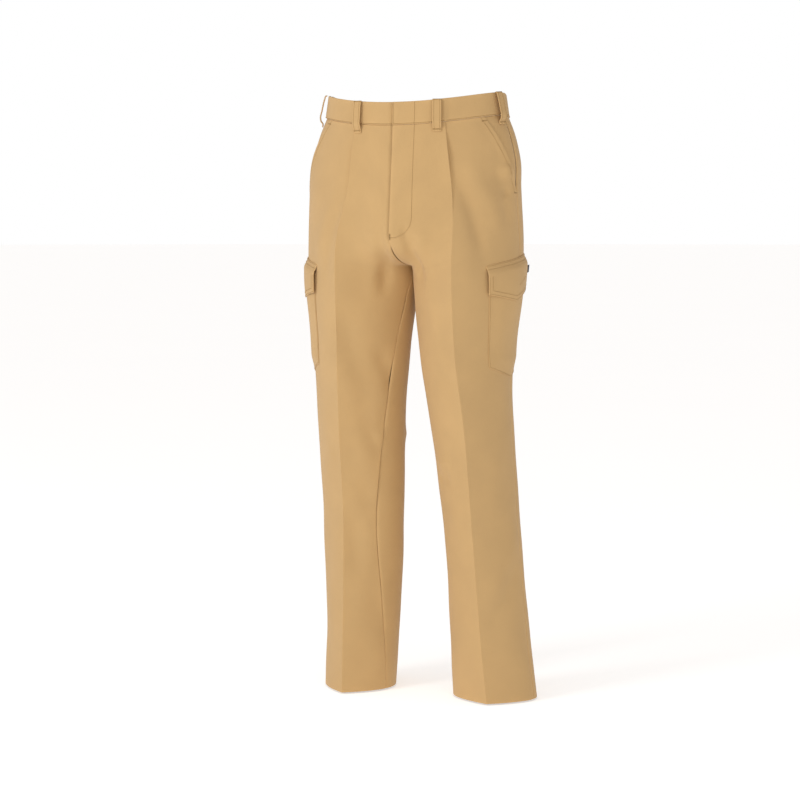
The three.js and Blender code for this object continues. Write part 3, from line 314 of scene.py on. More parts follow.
def make_table(side):
    """Points, outward directions and distances round the section on a close grid of s and height."""
    forks = [INSEAM + depth * (1 - math.cos(a)) for depth in (FORK_FRONT, FORK_BACK)
             for a in np.linspace(0, math.pi / 2, FORK_ROWS)]
    heights = np.unique(np.round([*np.arange(0, TOP_H, TABLE_STEP), *forks, INSEAM, SEAM_H, TOP_H], 3))
    s = np.linspace(0, 4, 4 * PER_QUARTER + 1)
    points = np.empty((len(heights), len(s), 3))
    for i, h in enumerate(heights):
        arcs = section(side, h)

        def at(where):
            k = np.minimum(where.astype(int), 3)
            parts = [np.array([arc[m] for arc in arcs])[k] for m in range(4)]
            return hermite(*parts, (where - k)[:, None])
        points[i, :, :2] = at(s)
    # Cloth hangs across the fork's sharp turn: it is eased over some centimetres, but not at the seam.
    near = np.exp(-0.5 * ((heights[:, None] - heights[None]) / FORK_EASE) ** 2) * np.gradient(heights)[None]
    eased = np.einsum("ij,jkm->ikm", near / near.sum(1)[:, None], points[:, :, :2])
    in_height = np.exp(-((heights - INSEAM - EASE_UP) / EASE_REACH) ** 2)
    in_s = smooth((s - EASE_FROM_S) / EASE_RUN_S) * smooth((4 - EASE_FROM_S - s) / EASE_RUN_S)
    points[:, :, :2] = mix(points[:, :, :2], eased, (in_height[:, None] * in_s[None])[..., None])
    for i, h in enumerate(heights):
        points[i, :, 2] = h + lift(side, s, points[i, :, 0], h)
    along = np.gradient(points[:, :, :2], axis=1)
    along /= np.linalg.norm(along, axis=2)[..., None]
    ways = np.stack([SIGN[side] * along[..., 1], -SIGN[side] * along[..., 0], np.zeros(along.shape[:2])],
                    axis=-1)
    steps = np.linalg.norm(np.diff(points[:, :, :2], axis=1), axis=2)
    round_ = np.concatenate([np.zeros((len(heights), 1)), np.cumsum(steps, axis=1)], axis=1)
    return {"h": heights, "points": points, "ways": ways, "round": round_}


TABLE = {side: make_table(side) for side in SIGN}


def looked_up(side, key, s, h):
    """Bilinear reading of a table."""
    table = TABLE[side]
    s, h = np.broadcast_arrays(np.asarray(s, float), np.asarray(h, float))
    i = np.clip(np.searchsorted(table["h"], h, side="right") - 1, 0, len(table["h"]) - 2)
    fi = np.clip((h - table["h"][i]) / (table["h"][i + 1] - table["h"][i]), 0, 1)
    j = np.clip((s * PER_QUARTER).astype(int), 0, 4 * PER_QUARTER - 1)
    fj = np.clip(s * PER_QUARTER - j, 0, 1)
    values = table[key]
    if values.ndim == 3:
        fi, fj = fi[..., None], fj[..., None]
    low, high = (mix(values[k, j], values[k, j + 1], fj) for k in (i, i + 1))
    return mix(low, high, fi)


def fold_height(away, h, d0, h0, d1, h1, width, rise):
    """Height of one fold at a distance from its crease: a soft ridge that fades beyond both ends."""
    run = np.hypot(d1 - d0, h1 - h0)
    ux, uh = (d1 - d0) / run, (h1 - h0) / run
    along = ((away - d0) * ux + (h - h0) * uh) / run
    off = ((away - d0) * uh - (h - h0) * ux) / width
    return rise * smooth((along + 0.12) / 0.4) * smooth((1.12 - along) / 0.4) * np.exp(-off * off)


def relief(side, s, h, cloth):
    """How far folds, pleat and overlap move the cloth out."""
    s, h = np.broadcast_arrays(np.asarray(s, float), np.asarray(h, float))
    # Two crossed pairs of long waves keep the cloth from lying quite even.
    total = 0.5 * np.sin(h / 47 + 3 * s) * np.sin(1.7 * s * math.pi + h / 160)
    total = total + 0.35 * np.sin(h / 21 - 5.1 * s + SIGN[side]) * np.sin(2.3 * s + h / 90)
    at = looked_up(side, "round", s, h)
    from_crease = {k: at - looked_up(side, "round", np.full_like(s, k), h) for k in (1, 3)}
    for which, crease, *fold in FOLDS:
        if which == side:
            here = (s <= 2) if crease == 1 else (s >= 2)
            total = total + np.where(here, fold_height(from_crease[crease], h, *fold), 0)
    total = total * cloth.fold_strength
    # The pleat: towards the middle the cloth lies on top, towards the side it runs in under the fold.
    d = from_crease[1]
    deep = cloth.pleat_depth * 1000 * smooth((h - PLEAT_FROM_H) / PLEAT_RUN)
    step = np.where(d < 0, 0.55 * np.exp(d / 16), -0.75 * np.exp(-d / 20))
    total = total + np.where(s <= 2, deep * step, 0)
    # Everything calms down towards the seams of the waist and towards the hem.
    calm = smooth((SEAM_H + 4 - h) / 60) * (0.35 + 0.65 * smooth(h / 60))
    total = total * np.where(h > SEAM_H - 60, np.maximum(calm, 0.25), calm)
    # The left front laps over the right one at the fly.
    lap, width = (LAP_OVER, LAP_OVER_WIDTH) if side == "left" else (LAP_UNDER, LAP_UNDER_WIDTH)
    lap = smooth((h - FLY_FROM_H) / FLY_RUN) * lap * (1 - smooth(at / width))
    return total + np.where(s < 1.2, lap, 0)


def skin(side, s, h, out, cloth):
    """Outer points and outward directions of cloth that lies this far out on the garment's surface."""
    points, ways = looked_up(side, "points", s, h), looked_up(side, "ways", s, h)
    ways = ways / np.linalg.norm(ways, axis=-1, keepdims=True)
    far = np.broadcast_to(out, ways.shape[:-1]) + relief(side, s, h, cloth)
    return points + ways * far[..., None], ways


def s_at_x(x, h, back=False):
    """Place s at a distance x from the centre front (or back); x's sign says the side."""
    x, h = np.broadcast_arrays(np.asarray(x, float), np.asarray(h, float))
    found = np.empty(x.shape)
    near = np.linspace(0, 1, 60)
    for index in np.ndindex(x.shape):
        side = "left" if x[index] >= 0 else "right"
        xs = np.abs(looked_up(side, "points", 4 - near if back else near, np.full(60, h[index]))[:, 0])
        found[index] = np.interp(abs(x[index]), xs, near)
    return 4 - found if back else found


def front_skin(x, h, out, cloth):
    """Cloth near the centre front, found by its distance x from the fly's edge."""
    x, h = np.broadcast_arrays(np.asarray(x, float), np.asarray(h, float))
    s = s_at_x(x, h)
    left, right = skin("left", s, h, out, cloth), skin("right", s, h, out, cloth)
    pick = (x >= 0)[..., None]
    return np.where(pick, left[0], right[0]), np.where(pick, left[1], right[1])


def cargo_s(side, forward, h):
    """Place s of a point of the cargo pocket: forward of its middle line, at a height."""
    centre = mix(CARGO_CENTRE_TOP, CARGO_CENTRE_BOTTOM, (MOUTH_H - h) / CARGO_DEPTH)
    s = np.linspace(0.6, 3.4, 141)
    found = np.empty(h.shape)
    for index in np.ndindex(h.shape):
        at = looked_up(side, "round", s, np.full(141, h[index]))
        seam = np.interp(2, s, at)
        found[index] = np.interp(seam - centre[index] - forward[index], at, s)
    return found


def cargo_floor(forward):
    """Height of the cargo pocket's pointed lower edge."""
    return MOUTH_H - CARGO_DEPTH + CARGO_POINT * np.abs(forward) / CARGO_HALF_WIDTH


def cargo_mouth(forward):
    """Height of the cargo pocket's slanting upper edge."""
    return MOUTH_H - FLAP_SLOPE * forward - 1


def fold_h(forward):
    return FOLD_H - FLAP_SLOPE * forward


def flap_depth(forward):
    point = FLAP_POINT * (1 - np.abs(forward) / FLAP_HALF_WIDTH)
    return FLAP_DEPTH + point - (FLAP_SLOPE - 0.1) * forward


# ---- meshes -----------------------------------------------------------------------------------------
def marked(low, high, step, marks=(), reach=0.0, fine=1.0):
    """Values from low to high about a step apart, closer together round each mark."""
    values = list(np.linspace(low, high, max(2, int(round((high - low) / step)) + 1)))
    for mark in (low, high, *marks):
        near = np.arange(-reach, reach + 1e-9, fine) if reach else []
        values += [mark + n for n in near if low < mark + n < high]
    values = np.unique(np.round([*values, *marks], 5))
    keep = [values[0]]
    for value in values[1:]:
        if value - keep[-1] > 0.45 * min(fine, step):
            keep.append(value)
    keep[-1] = high
    return np.array(keep)


def new_object(name, points, faces, material, uv=None, edge=None):
    """An object at the origin from points in millimetres above the hem."""
    mesh = bpy.data.meshes.new(name)
    metres = (np.asarray(points) - [0, 0, TOP_H]) / 1000
    mesh.from_pydata(metres.tolist(), [], faces)
    mesh.polygons.foreach_set("use_smooth", [True] * len(mesh.polygons))
    if uv is not None:
        layer = mesh.uv_layers.new(name="cloth")
        index = np.empty(len(mesh.loops), int)
        mesh.loops.foreach_get("vertex_index", index)
        layer.data.foreach_set("uv", (np.asarray(uv)[index] / 1000).astype(np.float32).ravel())
    if edge is not None:
        mesh.attributes.new("pressed", "FLOAT", "POINT").data.foreach_set("value", edge.astype(np.float32))
    mesh.validate()
    made = bpy.data.objects.new(name, mesh)
    bpy.context.scene.collection.objects.link(made)
    mesh.materials.append(material)
    return made


def outward(made):
    """Turns the faces of a closed mesh to point outwards."""
    work = bmesh.new()
    work.from_mesh(made.data)
    if work.calc_volume(signed=True) < 0:
        bmesh.ops.reverse_faces(work, faces=work.faces)
    work.to_mesh(made.data)
    work.free()


def sew(name, shape, columns, rows, thick, look, replaces=(), body="trousers",
        middle=None, blend=None):
    """One cut of cloth: shape(columns, rows) gives its outer points and outward directions.

    Its edges are rolled and its pattern coordinates are millimetres along the cloth."""
    grid = np.meshgrid(columns, rows)
    outer, ways = shape(*grid)
    across = np.concatenate([np.zeros((len(rows), 1)),
                             np.cumsum(np.linalg.norm(np.diff(outer, axis=1), axis=2), axis=1)], axis=1)
    along = np.concatenate([np.zeros((1, len(columns))),
                            np.cumsum(np.linalg.norm(np.diff(outer, axis=0), axis=2), axis=0)], axis=0)
    edge = np.minimum.reduce([across, across[:, -1:] - across, along, along[-1:] - along])
    drop = 0.4 * thick * (1 - np.sqrt(1 - (1 - np.clip(edge / (0.8 * thick), 0, 1)) ** 2))
    inner = outer - ways * (thick - drop)[..., None]
    outer = outer - ways * drop[..., None]
    if middle:                          # the two sides keep their gap in the middle plane
        short = np.maximum(0, SEAM_GAP / 2 - middle * outer[..., 0])
        outer[..., 0] += middle * short
        inner[..., 0] += middle * short
        inner[..., 0] += middle * np.maximum(0, SEAM_GAP / 2 - middle * inner[..., 0])
    count = outer.shape[0] * outer.shape[1]
    number = np.arange(count).reshape(outer.shape[:2])
    a, b, c, d = number[:-1, :-1], number[:-1, 1:], number[1:, 1:], number[1:, :-1]
    front = np.stack([a, b, c, d], axis=-1).reshape(-1, 4)
    rim = np.concatenate([number[0], number[1:, -1], number[-1, -2::-1], number[-2:0:-1, 0]])
    after = np.roll(rim, -1)
    sides = np.column_stack([after, rim, rim + count, after + count])
    faces = np.concatenate([front, front[:, ::-1] + count, sides]).tolist()
    uv = np.stack([across - across[:, -1:] / 2, along], axis=-1).reshape(-1, 2)
    pressed = np.exp(-edge / 3.0).reshape(-1)
    made = new_object(name, np.concatenate([outer.reshape(-1, 3), inner.reshape(-1, 3)]), faces,
                      material_of(look), np.concatenate([uv, uv]), np.concatenate([pressed, pressed]))
    outward(made)
    if blend:
        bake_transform(made)
    else:
        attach(made, body)
    if replaces:
        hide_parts(*replaces)
    return made


STITCHES = {}                           # body and name -> list of (centre, along, out, length)


def stitch(body, name, line, sewing, pitch=None, length=None):
    """Lays stitches along a line on the cloth, given as points and outward directions."""
    points, ways = line
    pitch = pitch or sewing.stitch_pitch * 1000
    length = length or pitch * STITCH_SHARE
    steps = np.linalg.norm(np.diff(points, axis=0), axis=1)
    at = np.concatenate([[0], np.cumsum(steps)])
    if at[-1] < pitch:
        return
    middles = np.arange(pitch / 2, at[-1], pitch)

    def read(values, where):
        return np.column_stack([np.interp(where, at, values[:, k]) for k in range(3)])
    out = read(ways, middles)
    along = read(points, np.minimum(middles + 1, at[-1])) - read(points, np.maximum(middles - 1, 0))
    along /= np.linalg.norm(along, axis=1)[:, None]
    out -= along * (out * along).sum(1)[:, None]
    out /= np.linalg.norm(out, axis=1)[:, None]
    centre = read(points, middles) + out * THREAD_LIFT
    STITCHES.setdefault((body, name), []).append((centre, along, out, np.full(len(centre), length)))


def sew_thread(body, name, sewing):
    """Makes one object of all the stitches laid under a name."""
    centre, along, out, length = (np.concatenate(part) for part in zip(*STITCHES[(body, name)]))
    across = np.cross(along, out)
    half = sewing.thread_width * 500
    ring = [(half * a, half * 0.8 * b) for a, b in ((1, 0), (0, 1), (-1, 0), (0, -1))]
    corners = [(-0.5, 0, 0), *[(t, *place) for t in (-0.34, 0.34) for place in ring], (0.5, 0, 0)]
    points = np.stack([centre + along * (length * t)[:, None] + across * a + out * b for t, a, b in corners],
                      axis=1)
    one = [(0, 2, 1), (0, 3, 2), (0, 4, 3), (0, 1, 4), (9, 5, 6), (9, 6, 7), (9, 7, 8), (9, 8, 5),
           (1, 2, 6, 5), (2, 3, 7, 6), (3, 4, 8, 7), (4, 1, 5, 8)]
    faces = [tuple(v + 10 * i for v in face) for i in range(len(centre)) for face in one]
    made = new_object(name, points.reshape(-1, 3), faces, material_of("thread"))
    outward(made)
    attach(made, body)
    return made


# ---- materials --------------------------------------------------------------------------------------
def linear(colour):
    """An sRGB colour as linear RGBA."""
    return [c / 12.92 if c <= 0.04045 else ((c + 0.055) / 1.055) ** 2.4 for c in colour] + [1.0]


def add_node(tree, kind, inputs=None, **settings):
    """Adds a node with its settings, values and links."""
    made = tree.nodes.new(kind)
    for key, value in settings.items():
        setattr(made, key, value)
    for key, value in (inputs or {}).items():
        if isinstance(value, bpy.types.NodeSocket):
            tree.links.new(value, made.inputs[key])
        else:
            made.inputs[key].default_value = value
    return made


def toned(colour, factor):
    """A linear colour made darker or paler."""
    return [min(1, c * factor) for c in colour[:3]] + [1.0]


def empty_material(name):
    """A new material with nothing in its node tree yet, and that tree."""
    material = bpy.data.materials.new(name)
    material.use_nodes = True
    material.node_tree.nodes.clear()
    return material, material.node_tree


BAND_PERIOD, DIAGONAL_PERIOD = 0.314, 0.444     # a wave texture's bands repeat after this many units


def woven(name, colour, pitch, roughness, sheen, rib=0.5, diagonal=True, fuzz=0.12, pressed=True):
    """Woven cloth on the piece's own pattern coordinates, one unit of which is a metre of cloth."""
    material, tree = empty_material(name)
    place = add_node(tree, "ShaderNodeTexCoord").outputs["UV"]
    # Rows of weft lie a little further apart than the ribs of the warp.
    warp = add_node(tree, "ShaderNodeTexWave", {"Vector": place, "Distortion": 1.2, "Detail": 2.0,
                    "Scale": (DIAGONAL_PERIOD if diagonal else BAND_PERIOD) / pitch, "Detail Scale": 3.0},
                    bands_direction="DIAGONAL" if diagonal else "X")
    weft = add_node(tree, "ShaderNodeTexWave", {"Vector": place, "Scale": BAND_PERIOD / (pitch * 1.3),
                    "Distortion": 0.8, "Detail": 1.0, "Detail Scale": 2.0}, bands_direction="Y")
    weave = add_node(tree, "ShaderNodeMath", {0: warp.outputs["Fac"], 1: weft.outputs["Fac"]},
                     operation="MULTIPLY")
    slub = add_node(tree, "ShaderNodeTexNoise", {"Vector": place, "Scale": 900.0, "Detail": 2.0})
    tone = add_node(tree, "ShaderNodeTexNoise", {"Vector": place, "Scale": 14.0, "Detail": 3.0,
                    "Roughness": 0.55})
    shade = add_node(tree, "ShaderNodeValToRGB", {"Fac": weave.outputs[0]})
    shade.color_ramp.elements[0].color = toned(colour, 1 - rib * 0.22)
    shade.color_ramp.elements[1].color = toned(colour, 1 + rib * 0.08)
    mottle = add_node(tree, "ShaderNodeMapRange", {"Value": tone.outputs["Fac"], "From Min": 0.3,
                      "From Max": 0.7, "To Min": 0.965, "To Max": 1.03})
    thread = add_node(tree, "ShaderNodeMapRange", {"Value": slub.outputs["Fac"], "To Min": 1 - fuzz * 0.5,
                      "To Max": 1 + fuzz * 0.5})
    both = add_node(tree, "ShaderNodeMath", {0: mottle.outputs[0], 1: thread.outputs[0]},
                    operation="MULTIPLY")
    dyed = add_node(tree, "ShaderNodeVectorMath", {0: shade.outputs["Color"], "Scale": both.outputs[0]},
                    operation="SCALE").outputs[0]
    if pressed:                         # pressed and rubbed edges are a little paler
        near = add_node(tree, "ShaderNodeAttribute", attribute_name="pressed").outputs["Fac"]
        rub = add_node(tree, "ShaderNodeMath", {0: near, 1: tone.outputs["Fac"]}, operation="MULTIPLY")
        paler = add_node(tree, "ShaderNodeMapRange", {"Value": rub.outputs[0], "To Min": 1.0, "To Max": 1.16})
        dyed = add_node(tree, "ShaderNodeVectorMath", {0: dyed, "Scale": paler.outputs[0]},
                        operation="SCALE").outputs[0]
    rough = add_node(tree, "ShaderNodeMapRange", {"Value": tone.outputs["Fac"], "To Min": roughness - 0.05,
                     "To Max": roughness + 0.05})
    height = add_node(tree, "ShaderNodeMath", {0: weave.outputs[0], 1: slub.outputs["Fac"]}, operation="ADD")
    bump = add_node(tree, "ShaderNodeBump", {"Height": height.outputs[0], "Strength": 0.35,
                    "Distance": 0.0003})
    shader = add_node(tree, "ShaderNodeBsdfPrincipled", {"Base Color": dyed, "Roughness": rough.outputs[0],
                      "Normal": bump.outputs[0], "Sheen Weight": sheen, "Sheen Roughness": 0.5,
                      "Specular IOR Level": 0.3})
    add_node(tree, "ShaderNodeOutputMaterial", {"Surface": shader.outputs[0]})
    return material


def metal(name, colour, roughness, grain):
    """Small stamped metal: fine drawn lines and a slightly uneven polish, on object coordinates."""
    material, tree = empty_material(name)
    place = add_node(tree, "ShaderNodeTexCoord").outputs["Object"]
    stretched = add_node(tree, "ShaderNodeMapping", {"Vector": place, "Scale": (1.0, 1.0, 0.08)})
    lines = add_node(tree, "ShaderNodeTexNoise", {"Vector": stretched.outputs[0], "Scale": 1 / grain,
                     "Detail": 4.0})
    cloud = add_node(tree, "ShaderNodeTexNoise", {"Vector": place, "Scale": 120.0, "Detail": 3.0})
    rough = add_node(tree, "ShaderNodeMapRange", {"Value": lines.outputs["Fac"], "To Min": roughness - 0.08,
                     "To Max": roughness + 0.1})
    shade = add_node(tree, "ShaderNodeValToRGB", {"Fac": cloud.outputs["Fac"]})
    shade.color_ramp.elements[0].color = toned(colour, 0.82)
    shade.color_ramp.elements[1].color = toned(colour, 1)
    bump = add_node(tree, "ShaderNodeBump", {"Height": lines.outputs["Fac"], "Strength": 0.2,
                    "Distance": 0.0001})
    shader = add_node(tree, "ShaderNodeBsdfPrincipled", {"Base Color": shade.outputs["Color"],
                      "Metallic": 1.0, "Roughness": rough.outputs[0], "Normal": bump.outputs[0]})
    add_node(tree, "ShaderNodeOutputMaterial", {"Surface": shader.outputs[0]})
    return material


def resin(name, colour):
    """Cast polyester button resin: clouded, polished, with faint swirls."""
    material, tree = empty_material(name)
    place = add_node(tree, "ShaderNodeTexCoord").outputs["Object"]
    swirl = add_node(tree, "ShaderNodeTexNoise", {"Vector": place, "Scale": 260.0, "Detail": 3.0,
                     "Distortion": 1.5})
    shade = add_node(tree, "ShaderNodeValToRGB", {"Fac": swirl.outputs["Fac"]})
    shade.color_ramp.elements[0].color = toned(colour, 0.7)
    shade.color_ramp.elements[1].color = toned(colour, 1.15)
    shader = add_node(tree, "ShaderNodeBsdfPrincipled", {"Base Color": shade.outputs["Color"],
                      "Roughness": 0.32, "Coat Weight": 0.3, "Coat Roughness": 0.15})
    add_node(tree, "ShaderNodeOutputMaterial", {"Surface": shader.outputs[0]})
    return material


def pale_floor(name):
    """Matt studio floor paint with a barely visible unevenness."""
    material, tree = empty_material(name)
    place = add_node(tree, "ShaderNodeTexCoord").outputs["Object"]
    cloud = add_node(tree, "ShaderNodeTexNoise", {"Vector": place, "Scale": 0.8, "Detail": 2.0})
    shade = add_node(tree, "ShaderNodeMapRange", {"Value": cloud.outputs["Fac"], "To Min": 0.9,
                     "To Max": 0.92})
    shader = add_node(tree, "ShaderNodeBsdfPrincipled", {"Base Color": shade.outputs[0], "Roughness": 0.9,
                      "Emission Color": (1.0, 1.0, 1.0, 1.0), "Emission Strength": 0.5})
    add_node(tree, "ShaderNodeOutputMaterial", {"Surface": shader.outputs[0]})
    return material


METAL_GRAIN = 0.0004                    # distance between the drawn lines, metres
MATERIALS = {}


def material_of(look):
    """The material of a finish, made on first use."""
    if look in MATERIALS:
        return MATERIALS[look]
    colours = bpy.context.scene.trousers_colours
    pitch = bpy.context.scene.trousers_cloth.weave_pitch
    if look == "twill":          # cotton and polyester twill: fine diagonal ribs, matt, dyed in the piece
        made = woven("cotton_twill", linear(colours.twill), pitch, 0.82, 0.15)
    elif look == "pocketing":    # plain-woven pocketing: thin, even and paler
        made = woven("pocketing_cloth", linear(colours.pocketing), pitch * 0.9, 0.88, 0.1, 0.35,
                     diagonal=False)
    elif look == "zip_tape":     # woven polyester zip tape: tight ribs along its length
        made = woven("zip_tape_weave", linear(colours.tape), pitch, 0.75, 0.05, 0.7, diagonal=False)
    elif look == "hook_and_loop":  # brushed loops: fuzzy, uneven and matt
        made = woven("hook_and_loop_pile", linear(colours.pile), pitch * 1.4, 0.95, 0.3, 1.0, fuzz=0.5)
    elif look == "ribbon":       # satin ribbon: fine cross ribs with a slight shine
        made = woven("satin_ribbon", linear(colours.ribbon), pitch * 0.8, 0.5, 0.1, 0.5, diagonal=False)
    elif look == "thread":       # spun polyester thread, a shade deeper than the cloth; the deeper tone is partly painted shade of the seam grooves beside the stitches
        made = woven("sewing_thread", linear(colours.thread), pitch * 0.5, 0.7, 0.1, 0.3, pressed=False)
    elif look == "zip_metal":    # brass teeth and slider, stamped and lightly polished
        made = metal("stamped_brass", linear(colours.brass), 0.35, METAL_GRAIN)
    elif look == "hook_metal":   # nickel-plated steel, pressed from sheet
        made = metal("nickel_plated_steel", linear(colours.steel), 0.3, METAL_GRAIN)
    elif look == "button":       # cast polyester, polished
        made = resin("polyester_resin", linear(colours.button))
    else:
        raise ValueError(f"no finish is called {look}")
    MATERIALS[look] = made
    return made


# ---- settings ---------------------------------------------------------------------------------------
def length(name, description, default):
    return bpy.props.FloatProperty(name=name, description=description, default=default, min=0.0,
                                   subtype="DISTANCE", unit="LENGTH", precision=4)


def colour(name, description, default):
    rgb = [int(default[i:i + 2], 16) / 255 for i in (1, 3, 5)]      # from a hex string
    return bpy.props.FloatVectorProperty(name=name, description=description, default=rgb, size=3, min=0.0,
                                         max=1.0, subtype="COLOR_GAMMA")


class TrousersCloth(bpy.types.PropertyGroup):
    """Sizes of the cloth."""
    shell_thick: length("Shell thickness", "Thickness of a shell panel with its allowances", 0.0009)
    band_thick: length("Waistband thickness", "Outer cloth and interlining", 0.0022)
    pocket_thick: length("Pocket thickness", "Turned edges of pockets, flaps and loops", 0.0013)
    bag_thick: length("Pocketing thickness", "Two layers of pocket bag", 0.0007)
    pleat_depth: length("Pleat depth", "Height of the front pleat's fold at the waist seam", 0.0055)
    pocket_rise: length("Pocket rise", "How far a cargo pocket's middle stands off the leg", 0.0052)
    loop_rise: length("Belt loop rise", "How far the outside of a belt loop stands off the garment", 0.0076)
    flap_rise: length("Flap rise", "How far a cargo flap stands off the leg", 0.0076)
    weave_pitch: length("Weave pitch", "Distance between ribs, twice as coarse as real so that it shows",
                        0.0011)
    fold_strength: bpy.props.FloatProperty(name="Fold strength", description="Depth of the soft folds",
                                           default=1.35, min=0.0, max=3.0, subtype="FACTOR")


class TrousersSewing(bpy.types.PropertyGroup):
    """Sizes of the stitching."""
    stitch_pitch: length("Stitch pitch", "Distance between stitches", 0.003)
    thread_width: length("Thread width", "Width of a stitch, drawn a little coarser than real", 0.0008)
    row_gap: length("Row gap", "Distance between two rows of topstitching", 0.006)
    edge_gap: length("Edge gap", "Distance of the first row from the edge", 0.0016)


class TrousersColours(bpy.types.PropertyGroup):
    """Colours, as sRGB."""
    twill: colour("Twill", "Shell cloth", "#cba671")
    # the thread colour is darker than the cloth partly as painted shade: it stands in for the shadow in the
    # stitched seam grooves
    thread: colour("Thread", "Topstitching", "#ab8752")
    pocketing: colour("Pocketing", "Pocket bags and lining", "#d6cbb2")
    tape: colour("Zip tape", "Woven tape", "#b1925f")
    pile: colour("Hook and loop", "Fasteners under the flaps", "#ad8b58")
    ribbon: colour("Ribbon", "Tab at the flap", "#1c2438")
    brass: colour("Brass", "Zip", "#c2a463")
    steel: colour("Steel", "Hook and bar", "#c4c6c8")
    button: colour("Button", "Back pocket buttons", "#a98a5c")


def settings(context):
    scene = context.scene
    return scene.trousers_cloth, scene.trousers_sewing


def bartack(name, line, sewing):
    stitch("trousers", name, line, sewing, TACK_PITCH, TACK_LENGTH)


def line_on(side, s, h, out, cloth, count=60):
    """A line on the garment through pairs of s and height, as points and outward directions."""
    t = np.linspace(0, len(s) - 1, count)
    return skin(side, np.interp(t, range(len(s)), s), np.interp(t, range(len(h)), h), out, cloth)


# ---- the shell --------------------------------------------------------------------------------------
COLUMN_STEP, CREASE_REACH, CREASE_STEP = 0.0195, 0.028, 0.004       # in s, finer beside the crease
LEG_ROWS, FORK_CURVE_ROWS, ROW_STEP, LEAST_ROW = 196, 22, 3.4, 0.3


def seam_dip(away, deep=SEAM_DIP):
    """How far cloth rolls in at a distance in s from a seam."""
    return deep * np.exp(-away * S_LENGTH / SEAM_ROLL)


def mouth_gape(c, h):
    """How far the side pocket's mouth stands open at a place c across the front panel."""
    up = np.clip((h - (SEAM_H - SLANT_DROP)) / SLANT_DROP, 0, 1)
    return MOUTH_GAPE * np.sin(up * math.pi) * smooth((c - GAPE_FROM_C) / (2 - GAPE_FROM_C))


def front_edge(h):
    """Where the front panel ends: the side seam, or the slanting pocket mouth above it."""
    return mix(2 - SEAM_EDGE_S, SLANT_TOP_S, np.maximum(0, h - (SEAM_H - SLANT_DROP)) / SLANT_DROP)


def panel_rows(fork):
    """Heights of a panel's rows, closest together in the fork."""
    curve = [INSEAM + fork * (1 - math.cos(a)) for a in np.linspace(0, math.pi / 2, FORK_CURVE_ROWS)]
    rows = [*np.linspace(0, INSEAM, LEG_ROWS), *curve, *np.arange(INSEAM + fork, SEAM_H - 1, ROW_STEP),
            0.5, 1.2, SEAM_H - 1.2, SEAM_H - 0.6, SEAM_H - SEAM_GAP]
    rows = np.unique(np.round(rows, 3))
    return rows[np.concatenate([[True], np.diff(rows) > LEAST_ROW])]


class TROUSERS_OT_shell(bpy.types.Operator):
    """Front and back panels, with pleats, pressed creases and soft folds"""
    bl_idname = "trousers.shell"
    bl_label = "Shell panels"

    def execute(self, context):
        cloth, _ = settings(context)
        for side, sign in SIGN.items():
            def front(c, h, side=side):
                s = np.where(c <= 1, np.maximum(c, SEAM_EDGE_S), 1 + (c - 1) * (front_edge(h) - 1))
                outseam = seam_dip(2 - c) * (h < SEAM_H - SLANT_DROP)
                inseam = seam_dip(c, INSEAM_DIP) * (h < INSEAM + 30)
                return skin(side, s, h, mouth_gape(c, h) - outseam - inseam, cloth)

            def back(c, h, side=side):
                s = np.clip(c, 2 + SEAM_EDGE_S, 4 - SEAM_EDGE_S)
                x = np.abs(looked_up(side, "points", s, h)[..., 0])
                dart = DART_DIP * np.exp(-((x - DART_X) / DART_ROLL) ** 2)
                dart = dart * smooth((h - (SEAM_H - WELT_DROP)) / 12)
                return skin(side, s, h, -seam_dip(c - 2) - seam_dip(4 - c) - dart, cloth)
            for name, shape, low, fork in (("front", front, 0, FORK_FRONT), ("back", back, 2, FORK_BACK)):
                columns = marked(low, low + 2, COLUMN_STEP, (low + 1,), CREASE_REACH, CREASE_STEP)
                sew(f"{side}_{name}_cloth", shape, columns, panel_rows(fork), cloth.shell_thick * 1000,
                    "twill", [f"{side}_{name}_panel"], middle=sign)
        return {"FINISHED"}


class TROUSERS_OT_waistband(bpy.types.Operator):
    """Waistband halves and their lining"""
    bl_idname = "trousers.waistband"
    bl_label = "Waistband"

    def execute(self, context):
        cloth, sewing = settings(context)
        band = cloth.band_thick * 1000
        for side, sign in SIGN.items():
            def outer(c, h, side=side):
                return skin(side, c, h, BAND_OUT - BAND_DIP * np.exp(-(h - SEAM_H) / BAND_ROLL), cloth)

            def lining(c, h, side=side):
                wavy = 0.25 * np.sin(c * 31 + h / 9)
                return skin(side, c, h, BAND_OUT - band - LINING_GAP + wavy, cloth)
            columns = marked(0, 4, 0.035, (), 0.03, 0.005)
            sew(f"{side}_waistband_cloth", outer, columns, marked(SEAM_H, TOP_H, 3.0, (), 2.4, 0.5), band,
                "twill", [f"{side}_waistband"], middle=sign)
            sew(f"{side}_band_lining", lining, columns, marked(SEAM_H + 1, TOP_H - 1, 3.5, (), 1.0, 0.4),
                LINING_THICK, "pocketing", [f"{side}_waistband_lining"],
                middle=sign)
            s = np.linspace(0.02, 3.99, 240)
            row = skin(side, s, np.full(240, SEAM_H + BAND_ROW_UP), BAND_OUT, cloth)
            stitch("trousers", f"{side}_band_stitching", row, sewing)
        h = np.linspace(SEAM_H + 1, TOP_H - 1, 20)
        for x in (2.0, FLY_WIDTH):
            row = front_skin(np.full(20, x), h, BAND_OUT, cloth)
            stitch("trousers", "left_band_stitching", row, sewing)
        return {"FINISHED"}


